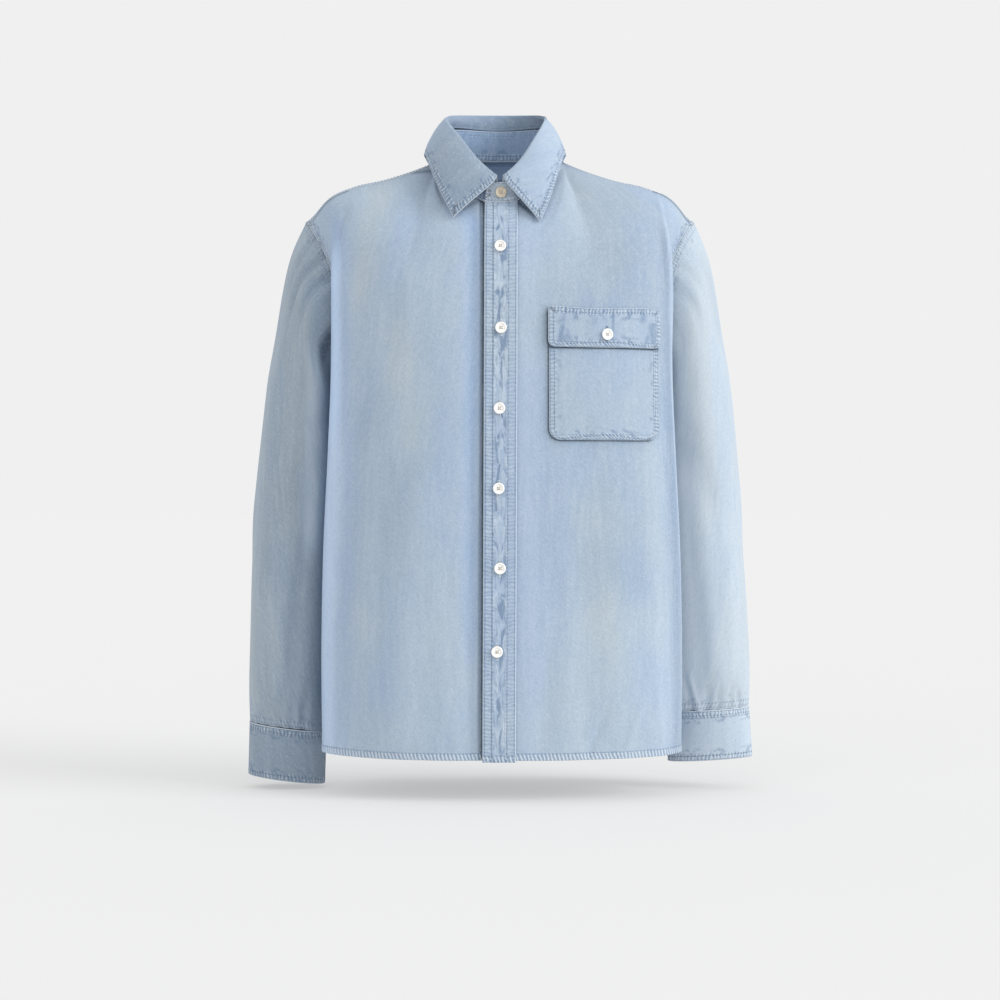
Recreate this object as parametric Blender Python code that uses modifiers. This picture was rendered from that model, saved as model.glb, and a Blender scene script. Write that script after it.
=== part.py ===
"""Long-sleeved denim shirt, filled out as if worn, with nobody in it.

Axes: +X to the wearer's left, -Y to the front, +Z up.  The origin lies in the middle of the
neck opening, level with the high points of the shoulders.  All sizes are in metres.

The body is four cloth walls (two fronts, yoke, back) that share their seam lines, and each
sleeve hangs as one tube from the armhole line.  Placket, pocket and flap are made from the
points of the front, moved out.
"""

from math import cos, radians, sin

import bpy
import numpy as np
from mathutils import Vector

# ---------------------------------------------------------------- driving dimensions
WALL = 0.0016              # cloth wall
BAND_WALL = 0.0020         # doubled cloth: collar, cuffs, pocket flap
PLACKET_WALL = 0.0026      # folded front band
SEAM_GAP = 0.0003          # between neighbouring pieces
BEND_GAP = 0.0009          # the same where the walls meet at an angle, so their backs clear
LAID_GAP = 0.0006          # under a piece that lies on a curved panel

NECK_HALF_WIDTH = 0.0748
NECK_HALF_DEPTH = 0.0740
NECK_MIDDLE_Y = -0.0140
NECK_FRONT_Z = -0.0575
NECK_BACK_Z = 0.0123
NECK_DROP = 2.5            # how quickly the neckline falls towards the front
YOKE_NECK_ANGLE = 90.0     # degrees from centre front where the shoulder seam meets the neck

ARMHOLE_X = 0.1890         # at the underarm
ARMHOLE_REACH = 0.0450     # how much further out the shoulder point lies
ARMHOLE_LEAN = 3.2
ARMHOLE_Y = 0.0200
ARMHOLE_HALF_DEPTH = 0.0460
ARMHOLE_Z = -0.1530
ARMHOLE_HALF_HEIGHT = 0.0870
FRONT_SEAM_ANGLE = 22.0    # degrees round the armhole, from its top towards the front
BACK_SEAM_ANGLE = -45.0

UNDERARM = 0.76            # share of the way up a panel where the armhole starts
CHEST = 0.88               # share of the way up the front where the shoulder slope starts
CHEST_STEPS = (0.3, 0.6, 0.8, 1.0)
SIDE_SHIFT = 0.0020        # the body hangs this much towards the wearer's left
HEM_DIP = 0.0040           # the hem is lower at the centre front and back

# a row for each level of the body: share of the way up, height, half width at the front
# fold, depth of the front and depth of the back, both from the side plane
BODY = np.array([
    (0.00, -0.6965, 0.2118, 0.1220, 0.1080),
    (0.20, -0.5800, 0.2127, 0.1225, 0.1040),
    (0.40, -0.4600, 0.2105, 0.1225, 0.1005),
    (0.60, -0.3400, 0.2050, 0.1215, 0.1030),
    (0.76, -0.2400, 0.2015, 0.1190, 0.1110),
])
FRONT_CHEST = (0.88, -0.1300, 0.2015, 0.1105)
BACK_CHEST = (0.88, -0.1450, 0.2000, 0.1120)
BACK_TOP = (1.00, -0.0850, 0.2130, 0.0950)

# half of the front's section: share of its length, share of the half width, share of the depth
FRONT_PROFILE = np.array([
    (0.000, 0.00, 1.000),
    (0.292, 0.44, 0.965),
    (0.514, 0.76, 0.800),
    (0.660, 0.94, 0.580),
    (0.751, 1.00, 0.370),
])
FRONT_RETURN = 0.858       # station between the fold and the side seam
RETURN_HOLLOW = 0.0020     # the wall lies this much further in half way there
RETURN_MIDDLE = 0.45       # how far from the fold to the seam that place is
SEAM_EASE = 1.5            # how late a panel turns to its outer seam line
BACK_PROFILE = np.array([
    (0.000, 0.00, 1.000),
    (0.392, 0.44, 0.975),
    (0.667, 0.74, 0.870),
    (0.820, 0.88, 0.670),
])
BACK_RETURN = 0.917
BACK_TURN = 0.70           # stations from which back and yoke turn to their outer seam line
YOKE_EDGE_TURN = 0.75
SIDE_SEAM_WIDTH = 0.880    # of the half width at the fold
SIDE_SEAM_DEPTH = 0.25     # of the front's depth, behind the side plane

# shoulder seam between front and yoke, from the neck to the armhole
SHOULDER_SEAM = np.array([
    (0.0950, -0.0240, -0.0100),
    (0.1352, -0.0300, -0.0243),
    (0.1746, -0.0270, -0.0333),
    (0.2059, -0.0170, -0.0473),
])
SEAM_CROWDING = 1.65       # stations draw together towards the shoulder point
SEAM_SLOPE = radians(26.0)  # the yoke rises behind the seam, so the front climbs at it too
LEFT_SEAM_SLOPE = radians(13.0)     # it rises less on the wearer's left shoulder
SEAM_PULL = 0.1300
FRONT_NECK_SLOPE = radians(62.0)
FRONT_NECK_PULL = 0.0700
FRONT_CHEST_PULL = 0.1100
BACK_NECK_SLOPE = radians(-15.0)
BACK_NECK_PULL = 0.0500
YOKE_TURN = 45.0           # degrees of the neck over which the yoke goes from one to the other
YOKE_FALL_PULL = 0.1400
FRONT_NECK_STATION = 0.35
YOKE_NECK_STATION = 0.43
BACK_LAST_LEVELS = np.array((0.96, 1.0))

# a row for each ring of a sleeve: share of its length, middle x, y, z, half width, half depth
# and how much higher the outer side is than the middle
SLEEVE_RIGHT = np.array([
    (0.12, 0.2262, 0.0280, -0.1850, 0.0300, 0.0640, 0.0720),
    (0.25, 0.2335, 0.0350, -0.2450, 0.0395, 0.0680, 0.0520),
    (0.42, 0.2400, 0.0360, -0.3350, 0.0475, 0.0690, 0.0280),
    (0.62, 0.2485, 0.0340, -0.4550, 0.0505, 0.0620, 0.0100),
    (0.82, 0.2525, 0.0280, -0.5750, 0.0500, 0.0530, 0.0060),
    (0.94, 0.2560, 0.0210, -0.6430, 0.0470, 0.0440, 0.0060),
    (1.00, 0.2560, 0.0190, -0.6745, 0.0458, 0.0350, 0.0060),
])
SLEEVE_LEFT = np.array([
    (0.12, 0.2258, 0.0280, -0.1830, 0.0290, 0.0640, 0.0700),
    (0.25, 0.2325, 0.0350, -0.2400, 0.0375, 0.0680, 0.0500),
    (0.42, 0.2380, 0.0360, -0.3250, 0.0455, 0.0690, 0.0260),
    (0.62, 0.2445, 0.0340, -0.4400, 0.0480, 0.0610, 0.0080),
    (0.82, 0.2505, 0.0270, -0.5550, 0.0495, 0.0510, 0.0040),
    (0.94, 0.2525, 0.0190, -0.6220, 0.0490, 0.0410, 0.0030),
    (1.00, 0.2515, 0.0160, -0.6527, 0.0485, 0.0300, 0.0030),
])
# lower edge of each cuff: middle x, y, z, half width, half depth, lift of the outer side
CUFF_RIGHT_EDGE = (0.2575, 0.0160, -0.7377, 0.0462, 0.0310, 0.0058)
CUFF_LEFT_EDGE = (0.2532, 0.0130, -0.7132, 0.0510, 0.0250, 0.0030)
CUFF_LAP_ANGLE = 262.0     # where the cuff's ends overlap, behind the wrist
CUFF_LAP = 34.0            # degrees of overlap
CUFF_START = CUFF_LAP_ANGLE - CUFF_LAP / 2
CUFF_LAP_EASE = 1.1        # the upper end has climbed onto the other this far into the lap
CUFF_COLUMNS = 32
SLEEVE_PLACKET_TOP = 0.76  # share of the sleeve's length
SLEEVE_PLACKET_TIP = 0.30  # shares of the stretch between two columns that the strip takes up
SLEEVE_PLACKET_WIDTH = 0.92
SLEEVE_PLACKET_SHORT = 0.20         # it ends above the cuff by this share of the last row

# collar: degrees from centre front, height of the fold, then the leaf's outer edge x, y, z
COLLAR = np.array([
    (0.0, -0.0298, 0.0500, -0.1030, -0.0795),
    (20.0, -0.0095, 0.0625, -0.0945, -0.0520),
    (45.0, 0.0215, 0.0735, -0.0765, -0.0225),
    (75.0, 0.0455, 0.0825, -0.0385, 0.0050),
    (105.0, 0.0580, 0.0850, 0.0100, 0.0105),
    (140.0, 0.0667, 0.0700, 0.0640, 0.0010),
    (180.0, 0.0703, 0.0000, 0.0910, -0.0030),
])
STAND_TOP_HALF_WIDTH = 0.0655
STAND_TOP_HALF_DEPTH = 0.0750
STAND_TOP_FRONT_Z = -0.0335
STAND_TOP_BACK_Z = 0.0504
STAND_TOP_DROP = 2.226
STAND_LAP = 335.0          # degrees round the neck where the upper end starts to lie over the other
LAP_EASE = 18.0            # degrees over which it does
STAND_UNDER_END = -10.5
STAND_UPPER_END = 374.0
STAND_END_RADIUS = 14.0    # degrees of the upper end over which its top corner is rounded
STAND_END_DROP = 0.0110
STAND_END_STEPS = np.array((7.0, 2.0, 0.0))     # degrees of its last columns from the end
LEAF_LEAN = -0.0060        # the leaf sits a little towards the wearer's right
LEAF_START_ANGLE = 2.5
ROLL = 0.0042              # half the thickness of the leaf's rolled fold
LEAF_FRONT = 60.0          # degrees of the front where the left point hangs and the leaf sits flat
LEAF_WAIST = 0.0025        # the fall bows out this much half way down
LEAF_NARROW = 0.0090       # the fold lies this much further in than the stand, at the sides
LEAF_CLEAR = 0.0014        # and the leaf starts this much higher there, as it leans in
# the leaf's rise, from the stand to its fold: share of its width, then how far out in
# rolls, the share of the rise and the share of the lean
LEAF_RISE = (
    (0.00, 0.0, 0.00, 0.0),
    (0.16, 0.1, 0.62, 0.3),
    (0.28, 1.0, 1.00, 0.9),
)
# the leaf's fall: shares of its width at its shoulder, its middle and its edge
LEAF_FALL = (0.40, 0.70, 1.00)
SHOULDER_OUT = 1.3         # in rolls, from the fold
SHOULDER_DOWN = 0.9
SHOULDER_SHARE = 0.06      # of the way from the fold to the edge
MIDDLE_SHIFT = 0.05        # the fall's middle lies this share of its length nearer to the edge
LEFT_POINT_DROP = 0.0050   # the wearer's left collar point hangs lower

PLACKET_RIGHT_X = -0.0178  # free edge, on the wearer's right of the centre
PLACKET_LEFT_X = 0.0206
PLACKET_LEAN = -0.0024     # from the neck to the hem
PLACKET_BOTTOM = 0.002     # shares of the front's height
PLACKET_TOP = 0.990
PLACKET_DROP = 0.0030      # it reaches below the hem
POCKET_X = (0.0560, 0.1835)
POCKET_Z = (-0.3335, -0.1930)
POCKET_CORNER = 0.0140
FLAP_X = (0.0548, 0.1845)
FLAP_Z = (-0.2268, -0.1795)
FLAP_CORNER = 0.0080
FLAP_STEP = 0.0080         # height over which the flap climbs onto the pocket's upper edge
FLAP_EASE = 1.2            # of that height, the share above the pocket's edge where it starts
POCKET_COLUMN = 0.2        # station of the front whose heights place the pocket
BUTTON_HEIGHTS = (-0.1107, -0.2050, -0.2972, -0.3889, -0.4803, -0.5755)
BUTTON_X = (0.0004, 0.0011, -0.0006, -0.0015, 0.0000, -0.0034)
COLLAR_BUTTON = (359.0, 0.48)       # degrees round the stand and share of its height
BUTTON_TILT = 0.12
POCKET_BUTTON = (0.1215, -0.2110)
BUTTON_RADIUS = 0.0067
BUTTON_THICKNESS = 0.0030
BUTTON_LIFT = 0.0004
BUTTON_STEPS = 16
# half the button's section: shares of its radius and of its thickness
BUTTON_PROFILE = (
    (0.00, 0.62),
    (0.60, 0.62),
    (0.76, 1.00),
    (0.93, 0.94),
    (1.00, 0.62),
    (0.72, 0.00),
    (0.00, 0.00),
)
MERGE_DISTANCE = 0.00005

# the largest folds of a panel: from station and height, to station and height, half width
# in stations, and how far the cloth stands out (in where negative)
FRONT_FOLDS = (
    (-0.62, 0.02, -0.55, 0.70, 0.070, -0.0040),
    (-0.36, 0.00, -0.30, 0.55, 0.080, 0.0030),
    (0.34, 0.00, 0.30, 0.42, 0.075, -0.0030),
    (0.60, 0.00, 0.56, 0.62, 0.070, 0.0030),
)
BACK_FOLDS = (
    (-0.55, 0.00, -0.40, 0.80, 0.110, 0.0060),
    (-0.22, 0.00, -0.16, 0.66, 0.090, -0.0050),
    (0.12, 0.00, 0.10, 0.74, 0.090, 0.0045),
    (0.48, 0.00, 0.36, 0.70, 0.110, -0.0055),
)
FOLD_FADE = 0.12
# the same for a sleeve, with degrees round it in place of stations
SLEEVE_FOLDS = (
    (35.0, 0.06, 20.0, 0.30, 26.0, -0.0040),
    (300.0, 0.30, 345.0, 0.62, 30.0, 0.0045),
    (120.0, 0.40, 60.0, 0.60, 28.0, -0.0035),
    (250.0, 0.55, 310.0, 0.86, 26.0, -0.0040),
    (60.0, 0.70, 75.0, 0.93, 24.0, 0.0030),
)

# colours are linear RGB
DENIM = (0.390, 0.480, 0.570)
DENIM_LIGHT = (0.440, 0.525, 0.610)
DENIM_DEEP = (0.330, 0.430, 0.560)
PEARL = (0.860, 0.840, 0.790)
CLOTH_ROUGHNESS = 0.9
PEARL_ROUGHNESS = 0.3


# ---------------------------------------------------------------- curves and grids
def smooth_curve(keys, values, at):
    """Cubic curve through the values at their keys, read at the places in at."""
    keys = np.asarray(keys, dtype=float)
    values = np.asarray(values, dtype=float)
    at = np.clip(np.asarray(at, dtype=float), keys[0], keys[-1])
    slopes = np.gradient(values, keys, axis=0)
    i = np.clip(np.searchsorted(keys, at, side="right") - 1, 0, len(keys) - 2)
    shape = (-1,) + (1,) * (values.ndim - 1)
    span = (keys[i + 1] - keys[i]).reshape(shape)
    t = (at - keys[i]).reshape(shape) / span
    return hermite(values[i], slopes[i] * span, values[i + 1], slopes[i + 1] * span, t)


def hermite(start, start_pull, end, end_pull, t):
    """Cubic arc between two points that leaves and arrives along the two pulls."""
    return ((2 * t ** 3 - 3 * t ** 2 + 1) * start + (t ** 3 - 2 * t ** 2 + t) * start_pull
            + (3 * t ** 2 - 2 * t ** 3) * end + (t ** 3 - t ** 2) * end_pull)


def ease(t):
    t = np.clip(t, 0.0, 1.0)
    return t * t * (3 - 2 * t)


def leaning(slope, length):
    """Vectors of the given lengths that lean back from upright by each slope's complement."""
    return np.stack((np.zeros(len(slope)), length * np.cos(slope), length * np.sin(slope)), axis=1)


def both_sides(stations, points):
    """Extend half a section, which starts on the centre line, over both sides."""
    mirrored = points[:0:-1] * (-1.0, 1.0, 1.0)
    return np.concatenate((-stations[:0:-1], stations)), np.concatenate((mirrored, points))


def normals(grid, wrap=False):
    """Unit normals of a grid of points, across its columns by up its rows."""
    if wrap:
        grid = np.concatenate((grid[:, -1:], grid, grid[:, :1]), axis=1)
    along = np.gradient(grid, axis=1)
    up = np.gradient(grid, axis=0)
    result = np.cross(along, up)
    result /= np.linalg.norm(result, axis=2, keepdims=True) + 1e-12
    return result[:, 1:-1] if wrap else result


def draw_in(grid, sides, gap=SEAM_GAP):
    """Pull the named edges of a grid back from their seam lines by half the gap."""
    edges = {"low": (grid[0], grid[1]), "high": (grid[-1], grid[-2]),
             "first": (grid[:, 0], grid[:, 1]), "last": (grid[:, -1], grid[:, -2])}
    for side in sides:
        edge, inner = edges[side]
        way = inner - edge
        edge += way * (gap / 2 / np.linalg.norm(way, axis=1, keepdims=True))
    return grid


def fold_heights(across, up, folds, turn=None):
    """How far a table of folds moves each point of a panel out."""
    total = np.zeros(np.broadcast(across, up).shape)
    for a0, v0, a1, v1, width, height in folds:
        share = np.clip((up - v0) / (v1 - v0), 0.0, 1.0)
        off = across - (a0 + (a1 - a0) * share)
        if turn:
            off = (off + turn / 2) % turn - turn / 2
        fade = ease((up - v0) / FOLD_FADE + 0.5) * ease((v1 - up) / FOLD_FADE + 0.5)
        total += height * fade * np.exp(-(off / width) ** 2)
    return total


# ---------------------------------------------------------------- seam lines
def neck_line(angle):
    """Neck seam; angle in degrees from centre front (0) by the side to centre back (180)."""
    a = np.radians(np.asarray(angle, dtype=float))
    fall = ((1 + np.cos(a)) / 2) ** NECK_DROP
    return np.stack((NECK_HALF_WIDTH * np.sin(a),
                     NECK_MIDDLE_Y - NECK_HALF_DEPTH * np.cos(a),
                     NECK_BACK_Z - (NECK_BACK_Z - NECK_FRONT_Z) * fall), axis=-1)


def armhole_line(angle):
    """Armhole of the wearer's left; degrees from its top (0) by the front to the underarm (180)."""
    a = np.radians(np.asarray(angle, dtype=float))
    reach = ((1 + np.cos(a)) / 2) ** ARMHOLE_LEAN
    return np.stack((ARMHOLE_X + ARMHOLE_REACH * reach,
                     ARMHOLE_Y - ARMHOLE_HALF_DEPTH * np.sin(a),
                     ARMHOLE_Z + ARMHOLE_HALF_HEIGHT * np.cos(a)), axis=-1)


def shoulder_line(share):
    """Seam between front and yoke, from the neck (0) to the armhole (1)."""
    ends = neck_line([YOKE_NECK_ANGLE]), armhole_line([FRONT_SEAM_ANGLE])
    points = np.concatenate((ends[0], SHOULDER_SEAM, ends[1]))
    keys = (points[:, 0] - points[0, 0]) / (points[-1, 0] - points[0, 0])
    return smooth_curve(keys, points, 1 - (1 - np.asarray(share)) ** SEAM_CROWDING)


def side_line(up, top_angle):
    """Side seam up to the underarm, then the armhole up to the angle top_angle."""
    up = np.asarray(up, dtype=float)
    seam = np.stack((BODY[:, 2] * SIDE_SEAM_WIDTH, BODY[:, 3] * SIDE_SEAM_DEPTH, BODY[:, 1]), axis=1)
    seam[-1] = armhole_line(180.0)
    lower = smooth_curve(BODY[:, 0], seam, up)
    share = np.clip((up - UNDERARM) / (1 - UNDERARM), 0.0, 1.0)
    upper = armhole_line(180.0 + (top_angle - 180.0) * share)
    return np.where((up <= UNDERARM)[:, None], lower, upper)


# ---------------------------------------------------------------- panels
def section(row, profile, depth_sign, back_station, edge):
    """Half a level section: profile points, then one on the way to the edge, then the edge."""
    height, half_width, depth = row
    across = profile[:, 1]
    points = np.stack((across * half_width, depth_sign * depth * profile[:, 2],
                       np.full(len(profile), height)), axis=1)
    middle = points[-1] * (1 - RETURN_MIDDLE) + edge * RETURN_MIDDLE
    middle[0] -= RETURN_HOLLOW
    stations = np.concatenate((profile[:, 0], (back_station, 1.0)))
    return stations, np.concatenate((points, middle[None], edge[None]))


def section_rows(rows, profile, depth_sign, back_station, top_angle, stations):
    """One line of points per row of the table, at the signed stations."""
    lines = []
    for up, height, half_width, depth in rows:
        edge = side_line([up], top_angle)[0]
        keys, half = section((height, half_width, depth), profile, depth_sign, back_station, edge)
        keys, full = both_sides(keys, half)
        inner = np.abs(keys) < back_station
        full[inner, 0] += SIDE_SHIFT * np.abs(full[inner, 0]) / half_width
        line = smooth_curve(keys, full, stations)
        if up == 0.0:
            line[:, 2] -= HEM_DIP * (1 - stations ** 2)
        lines.append(line)
    return np.array(lines)


def meet_edges(raw, stations, up, edge, start):
    """Move the outer columns so that the last one lies on the seam line."""
    grid = raw(stations, up)
    ends = raw(np.array((-1.0, 1.0)), up)
    weight = np.clip((np.abs(stations) - start) / (1 - start), 0.0, 1.0) ** SEAM_EASE
    for sign, end in ((-1.0, ends[:, 0]), (1.0, ends[:, 1])):
        miss = edge * (sign, 1.0, 1.0) - end
        grid += (weight * (stations * sign > 0))[None, :, None] * miss[:, None, :]
    return grid


def front_top(stations):
    """Upper boundary of the front: half the front neck, then the shoulder seam."""
    u = np.abs(stations)
    sign = np.where(stations < 0, -1.0, 1.0)
    angle = YOKE_NECK_ANGLE * np.clip(u / FRONT_NECK_STATION, 0.0, 1.0)
    share = np.clip((u - FRONT_NECK_STATION) / (1 - FRONT_NECK_STATION), 0.0, 1.0)
    points = np.where((u <= FRONT_NECK_STATION)[:, None], neck_line(angle), shoulder_line(share))
    points[:, 0] *= sign
    turned = ease(u / FRONT_NECK_STATION)
    rise = FRONT_NECK_SLOPE + (SEAM_SLOPE - FRONT_NECK_SLOPE) * turned
    pull = FRONT_NECK_PULL + (SEAM_PULL - FRONT_NECK_PULL) * turned
    return points, leaning(rise, pull)


def front_raw(stations, up):
    table = np.concatenate((BODY[:, :4], [FRONT_CHEST]))
    lines = section_rows(table, FRONT_PROFILE, -1.0, FRONT_RETURN, FRONT_SEAM_ANGLE, stations)
    top, top_pull = front_top(stations)
    lift = lines[-1] - lines[-2]
    lift *= FRONT_CHEST_PULL / np.linalg.norm(lift, axis=1, keepdims=True)
    upper = [hermite(lines[-1], lift, top, top_pull, t) for t in CHEST_STEPS]
    keys = np.concatenate((table[:, 0], [CHEST + (1 - CHEST) * t for t in CHEST_STEPS]))
    return smooth_curve(keys, np.concatenate((lines, upper)), up)


def front_points(stations, up, folded=True):
    """Outer face of the whole front; station -1 and 1 are the side seams, 0 the centre."""
    edge = side_line(up, FRONT_SEAM_ANGLE)
    grid = meet_edges(front_raw, stations, up, edge, FRONT_PROFILE[-1, 0])
    if folded:
        heights = fold_heights(stations[None, :], up[:, None], FRONT_FOLDS)
        grid += normals(grid) * heights[:, :, None]
    return grid


def back_raw(stations, up):
    table = np.concatenate((BODY[:, (0, 1, 2, 4)], [BACK_CHEST, BACK_TOP]))
    lines = section_rows(table, BACK_PROFILE, 1.0, BACK_RETURN, BACK_SEAM_ANGLE + 360.0, stations)
    return smooth_curve(table[:, 0], lines, up)


def back_points(stations, up, folded=True):
    """Outer face of the back, from the hem to the yoke seam."""
    edge = side_line(up, BACK_SEAM_ANGLE + 360.0)
    grid = meet_edges(back_raw, stations, up, edge, BACK_TURN)
    if folded:
        heights = fold_heights(stations[None, :], up[:, None], BACK_FOLDS)
        grid -= normals(grid) * heights[:, :, None]
    return grid


def yoke_raw(stations, down):
    u = np.abs(stations)
    sign = np.where(stations < 0, -1.0, 1.0)
    bottom = back_points(stations, BACK_LAST_LEVELS, folded=False)
    angle = 180.0 - (180.0 - YOKE_NECK_ANGLE) * np.clip(u / YOKE_NECK_STATION, 0.0, 1.0)
    share = np.clip((u - YOKE_NECK_STATION) / (1 - YOKE_NECK_STATION), 0.0, 1.0)
    top = np.where((u <= YOKE_NECK_STATION)[:, None], neck_line(angle), shoulder_line(share))
    top[:, 0] *= sign
    turned = ease((angle - YOKE_NECK_ANGLE) / YOKE_TURN)
    slope = np.where(stations < 0, SEAM_SLOPE, LEFT_SEAM_SLOPE)
    rise = slope + (BACK_NECK_SLOPE - slope) * turned
    pull = SEAM_PULL + (BACK_NECK_PULL - SEAM_PULL) * turned
    start = leaning(rise, pull)
    fall = bottom[0] - bottom[1]
    fall *= YOKE_FALL_PULL / np.linalg.norm(fall, axis=1, keepdims=True)
    return np.array([hermite(top, start, bottom[1], fall, t) for t in down])


def yoke_points(stations, down):
    """Outer face of the yoke, from the shoulder seams and back neck (0) to the back seam (1)."""
    edge = armhole_line(FRONT_SEAM_ANGLE + (BACK_SEAM_ANGLE - FRONT_SEAM_ANGLE) * down)
    return meet_edges(yoke_raw, stations, down, edge, YOKE_EDGE_TURN)


def sleeve_points(angles, along, rings, sign, folded=True):
    """Outer face of a sleeve; degrees run from the outer side by the front to the inner side."""
    a = np.radians(angles)
    first = armhole_line(angles)
    lines = [first]
    for _, x, y, z, half_width, half_depth, lift in rings:
        lines.append(np.stack((x + half_width * np.cos(a), y - half_depth * np.sin(a),
                               z + lift * np.cos(a)), axis=1))
    keys = np.concatenate(([0.0], rings[:, 0]))
    grid = smooth_curve(keys, np.array(lines), along)
    if folded:
        heights = fold_heights(angles[None, :] % 360.0, along[:, None], SLEEVE_FOLDS, turn=360.0)
        grid += normals(grid, wrap=True) * heights[:, :, None]
    grid[:, :, 0] *= sign
    return grid


# ---------------------------------------------------------------- objects
def new_material(name, colour, roughness):
    material = bpy.data.materials.new(name)
    material.use_nodes = True
    shader = material.node_tree.nodes["Principled BSDF"]
    shader.inputs["Base Color"].default_value = (*colour, 1.0)
    shader.inputs["Roughness"].default_value = roughness
    shader.inputs["Metallic"].default_value = 0.0
    return material


def add_shell(name, grid, wall, colour, wrap=False, flip=False):
    """A cloth wall whose outer face is the grid of points."""
    rows, columns = grid.shape[:2]
    last = columns if wrap else columns - 1
    faces = []
    for i in range(rows - 1):
        for j in range(last):
            k = (j + 1) % columns
            face = (i * columns + j, i * columns + k, (i + 1) * columns + k, (i + 1) * columns + j)
            faces.append(face[::-1] if flip else face)
    mesh = bpy.data.meshes.new(name)
    mesh.from_pydata([tuple(point) for point in grid.reshape(-1, 3)], [], faces)
    mesh.shade_smooth()
    mesh.materials.append(new_material(name, colour, CLOTH_ROUGHNESS))
    shell = bpy.data.objects.new(name, mesh)
    solidify = shell.modifiers.new("wall", "SOLIDIFY")
    solidify.thickness = wall
    solidify.offset = -1.0
    SHIRT.objects.link(shell)
    return shell


def add_button(name, centre, outward, lift=BUTTON_LIFT):
    """A turned button with a rolled rim, held off the point centre by its thread."""
    points = [(out * BUTTON_RADIUS, 0.0, up * BUTTON_THICKNESS) for out, up in BUTTON_PROFILE]
    mesh = bpy.data.meshes.new(name)
    mesh.from_pydata(points, [(i, i + 1) for i in range(len(points) - 1)], [])
    mesh.materials.append(new_material(name, PEARL, PEARL_ROUGHNESS))
    button = bpy.data.objects.new(name, mesh)
    screw = button.modifiers.new("turned", "SCREW")
    screw.steps = BUTTON_STEPS
    screw.render_steps = BUTTON_STEPS
    screw.use_merge_vertices = True
    screw.merge_threshold = MERGE_DISTANCE
    screw.use_smooth_shade = True
    button.location = Vector(centre) + Vector(outward) * lift
    button.rotation_euler = Vector(outward).to_track_quat("Z", "Y").to_euler()
    SHIRT.objects.link(button)
    return button


# ---------------------------------------------------------------- body
SIDE_HEIGHTS = np.linspace(0.0, UNDERARM, 10)
FRONT_ARMHOLE = 1 - (1 - np.linspace(0.0, 1.0, 9)) ** 1.5      # rows crowd to the shoulder seam
BACK_ARMHOLE = np.linspace(0.0, 1.0, 7)
YOKE_ROWS = np.array((0.0, 0.06, 0.18, 0.34, 0.52, 0.70, 0.86, 1.0))
# columns of a front from the neck point to the side seam, closest round the fold
FRONT_STATIONS = np.array((0.35, 0.43, 0.51, 0.58, 0.64, 0.69, 0.73, 0.765, 0.80, 0.86, 0.93, 1.0))
SHOULDER_SHARES = (FRONT_STATIONS - FRONT_NECK_STATION) / (1 - FRONT_NECK_STATION)
NECK_STEPS = 5
BUTTON_EDGE_STATION = 0.047        # the wearer's right front runs on under the placket
PLACKET_SEAM_STATION = 0.053       # the wearer's left front starts at the placket's seam


def panel_rows(armhole_rows):
    return np.concatenate((SIDE_HEIGHTS[:-1], UNDERARM + (1 - UNDERARM) * armhole_rows))


def yoke_stations():
    neck = np.linspace(0.0, YOKE_NECK_STATION, NECK_STEPS + 2)
    shoulder = YOKE_NECK_STATION + (1 - YOKE_NECK_STATION) * SHOULDER_SHARES[1:]
    half = np.concatenate((neck, shoulder))
    return np.concatenate((-half[:0:-1], half))


def sleeve_angles():
    """Angles round the armhole at which the body panels have points."""
    front = FRONT_SEAM_ANGLE + (180.0 - FRONT_SEAM_ANGLE) * (1 - FRONT_ARMHOLE[::-1])
    back = 180.0 + (180.0 + BACK_SEAM_ANGLE) * BACK_ARMHOLE
    yoke = FRONT_SEAM_ANGLE + (BACK_SEAM_ANGLE - FRONT_SEAM_ANGLE) * YOKE_ROWS[::-1] + 360.0
    return np.concatenate((np.sort(front), back[1:], yoke[1:-1]))


def build_fronts():
    up = panel_rows(FRONT_ARMHOLE)
    neck = np.linspace(0.0, FRONT_NECK_STATION, NECK_STEPS + 1)[1:-1]
    right = np.concatenate((-FRONT_STATIONS[::-1], -neck[::-1], (0.0, BUTTON_EDGE_STATION)))
    left = np.concatenate(((PLACKET_SEAM_STATION,), neck, FRONT_STATIONS))
    for name, stations, side in (("front_right", right, "first"), ("front_left", left, "last")):
        grid = draw_in(front_points(stations, up), (side,))
        add_shell(name, draw_in(grid, ("high",), BEND_GAP), WALL, DENIM)


def build_back():
    grid = back_points(yoke_stations(), panel_rows(BACK_ARMHOLE))
    add_shell("back", draw_in(grid, ("first", "last", "high")), WALL, DENIM, flip=True)


def build_yoke():
    grid = yoke_points(yoke_stations(), YOKE_ROWS)
    draw_in(grid, ("first", "last", "high"))
    add_shell("yoke", draw_in(grid, ("low",), BEND_GAP), WALL, DENIM_LIGHT)


# ---------------------------------------------------------------- sleeves
SLEEVE_ROWS = np.array((0.0, 0.05, 0.12, 0.19, 0.27, 0.36, 0.46, 0.56, 0.66, 0.76, 0.85, 0.92,
                        0.97, 1.0))
SIDES = (
    ("right", -1.0, SLEEVE_RIGHT, CUFF_RIGHT_EDGE),
    ("left", 1.0, SLEEVE_LEFT, CUFF_LEFT_EDGE),
)


def ring(angles, x, y, z, half_width, half_depth, lift, sign, out=0.0):
    """Points round a wrist; degrees run from the outer side by the front to the inner side."""
    a = np.radians(angles)
    return np.stack((sign * (x + (half_width + out) * np.cos(a)),
                     y - (half_depth + out) * np.sin(a), z + lift * np.cos(a)), axis=1)


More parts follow.
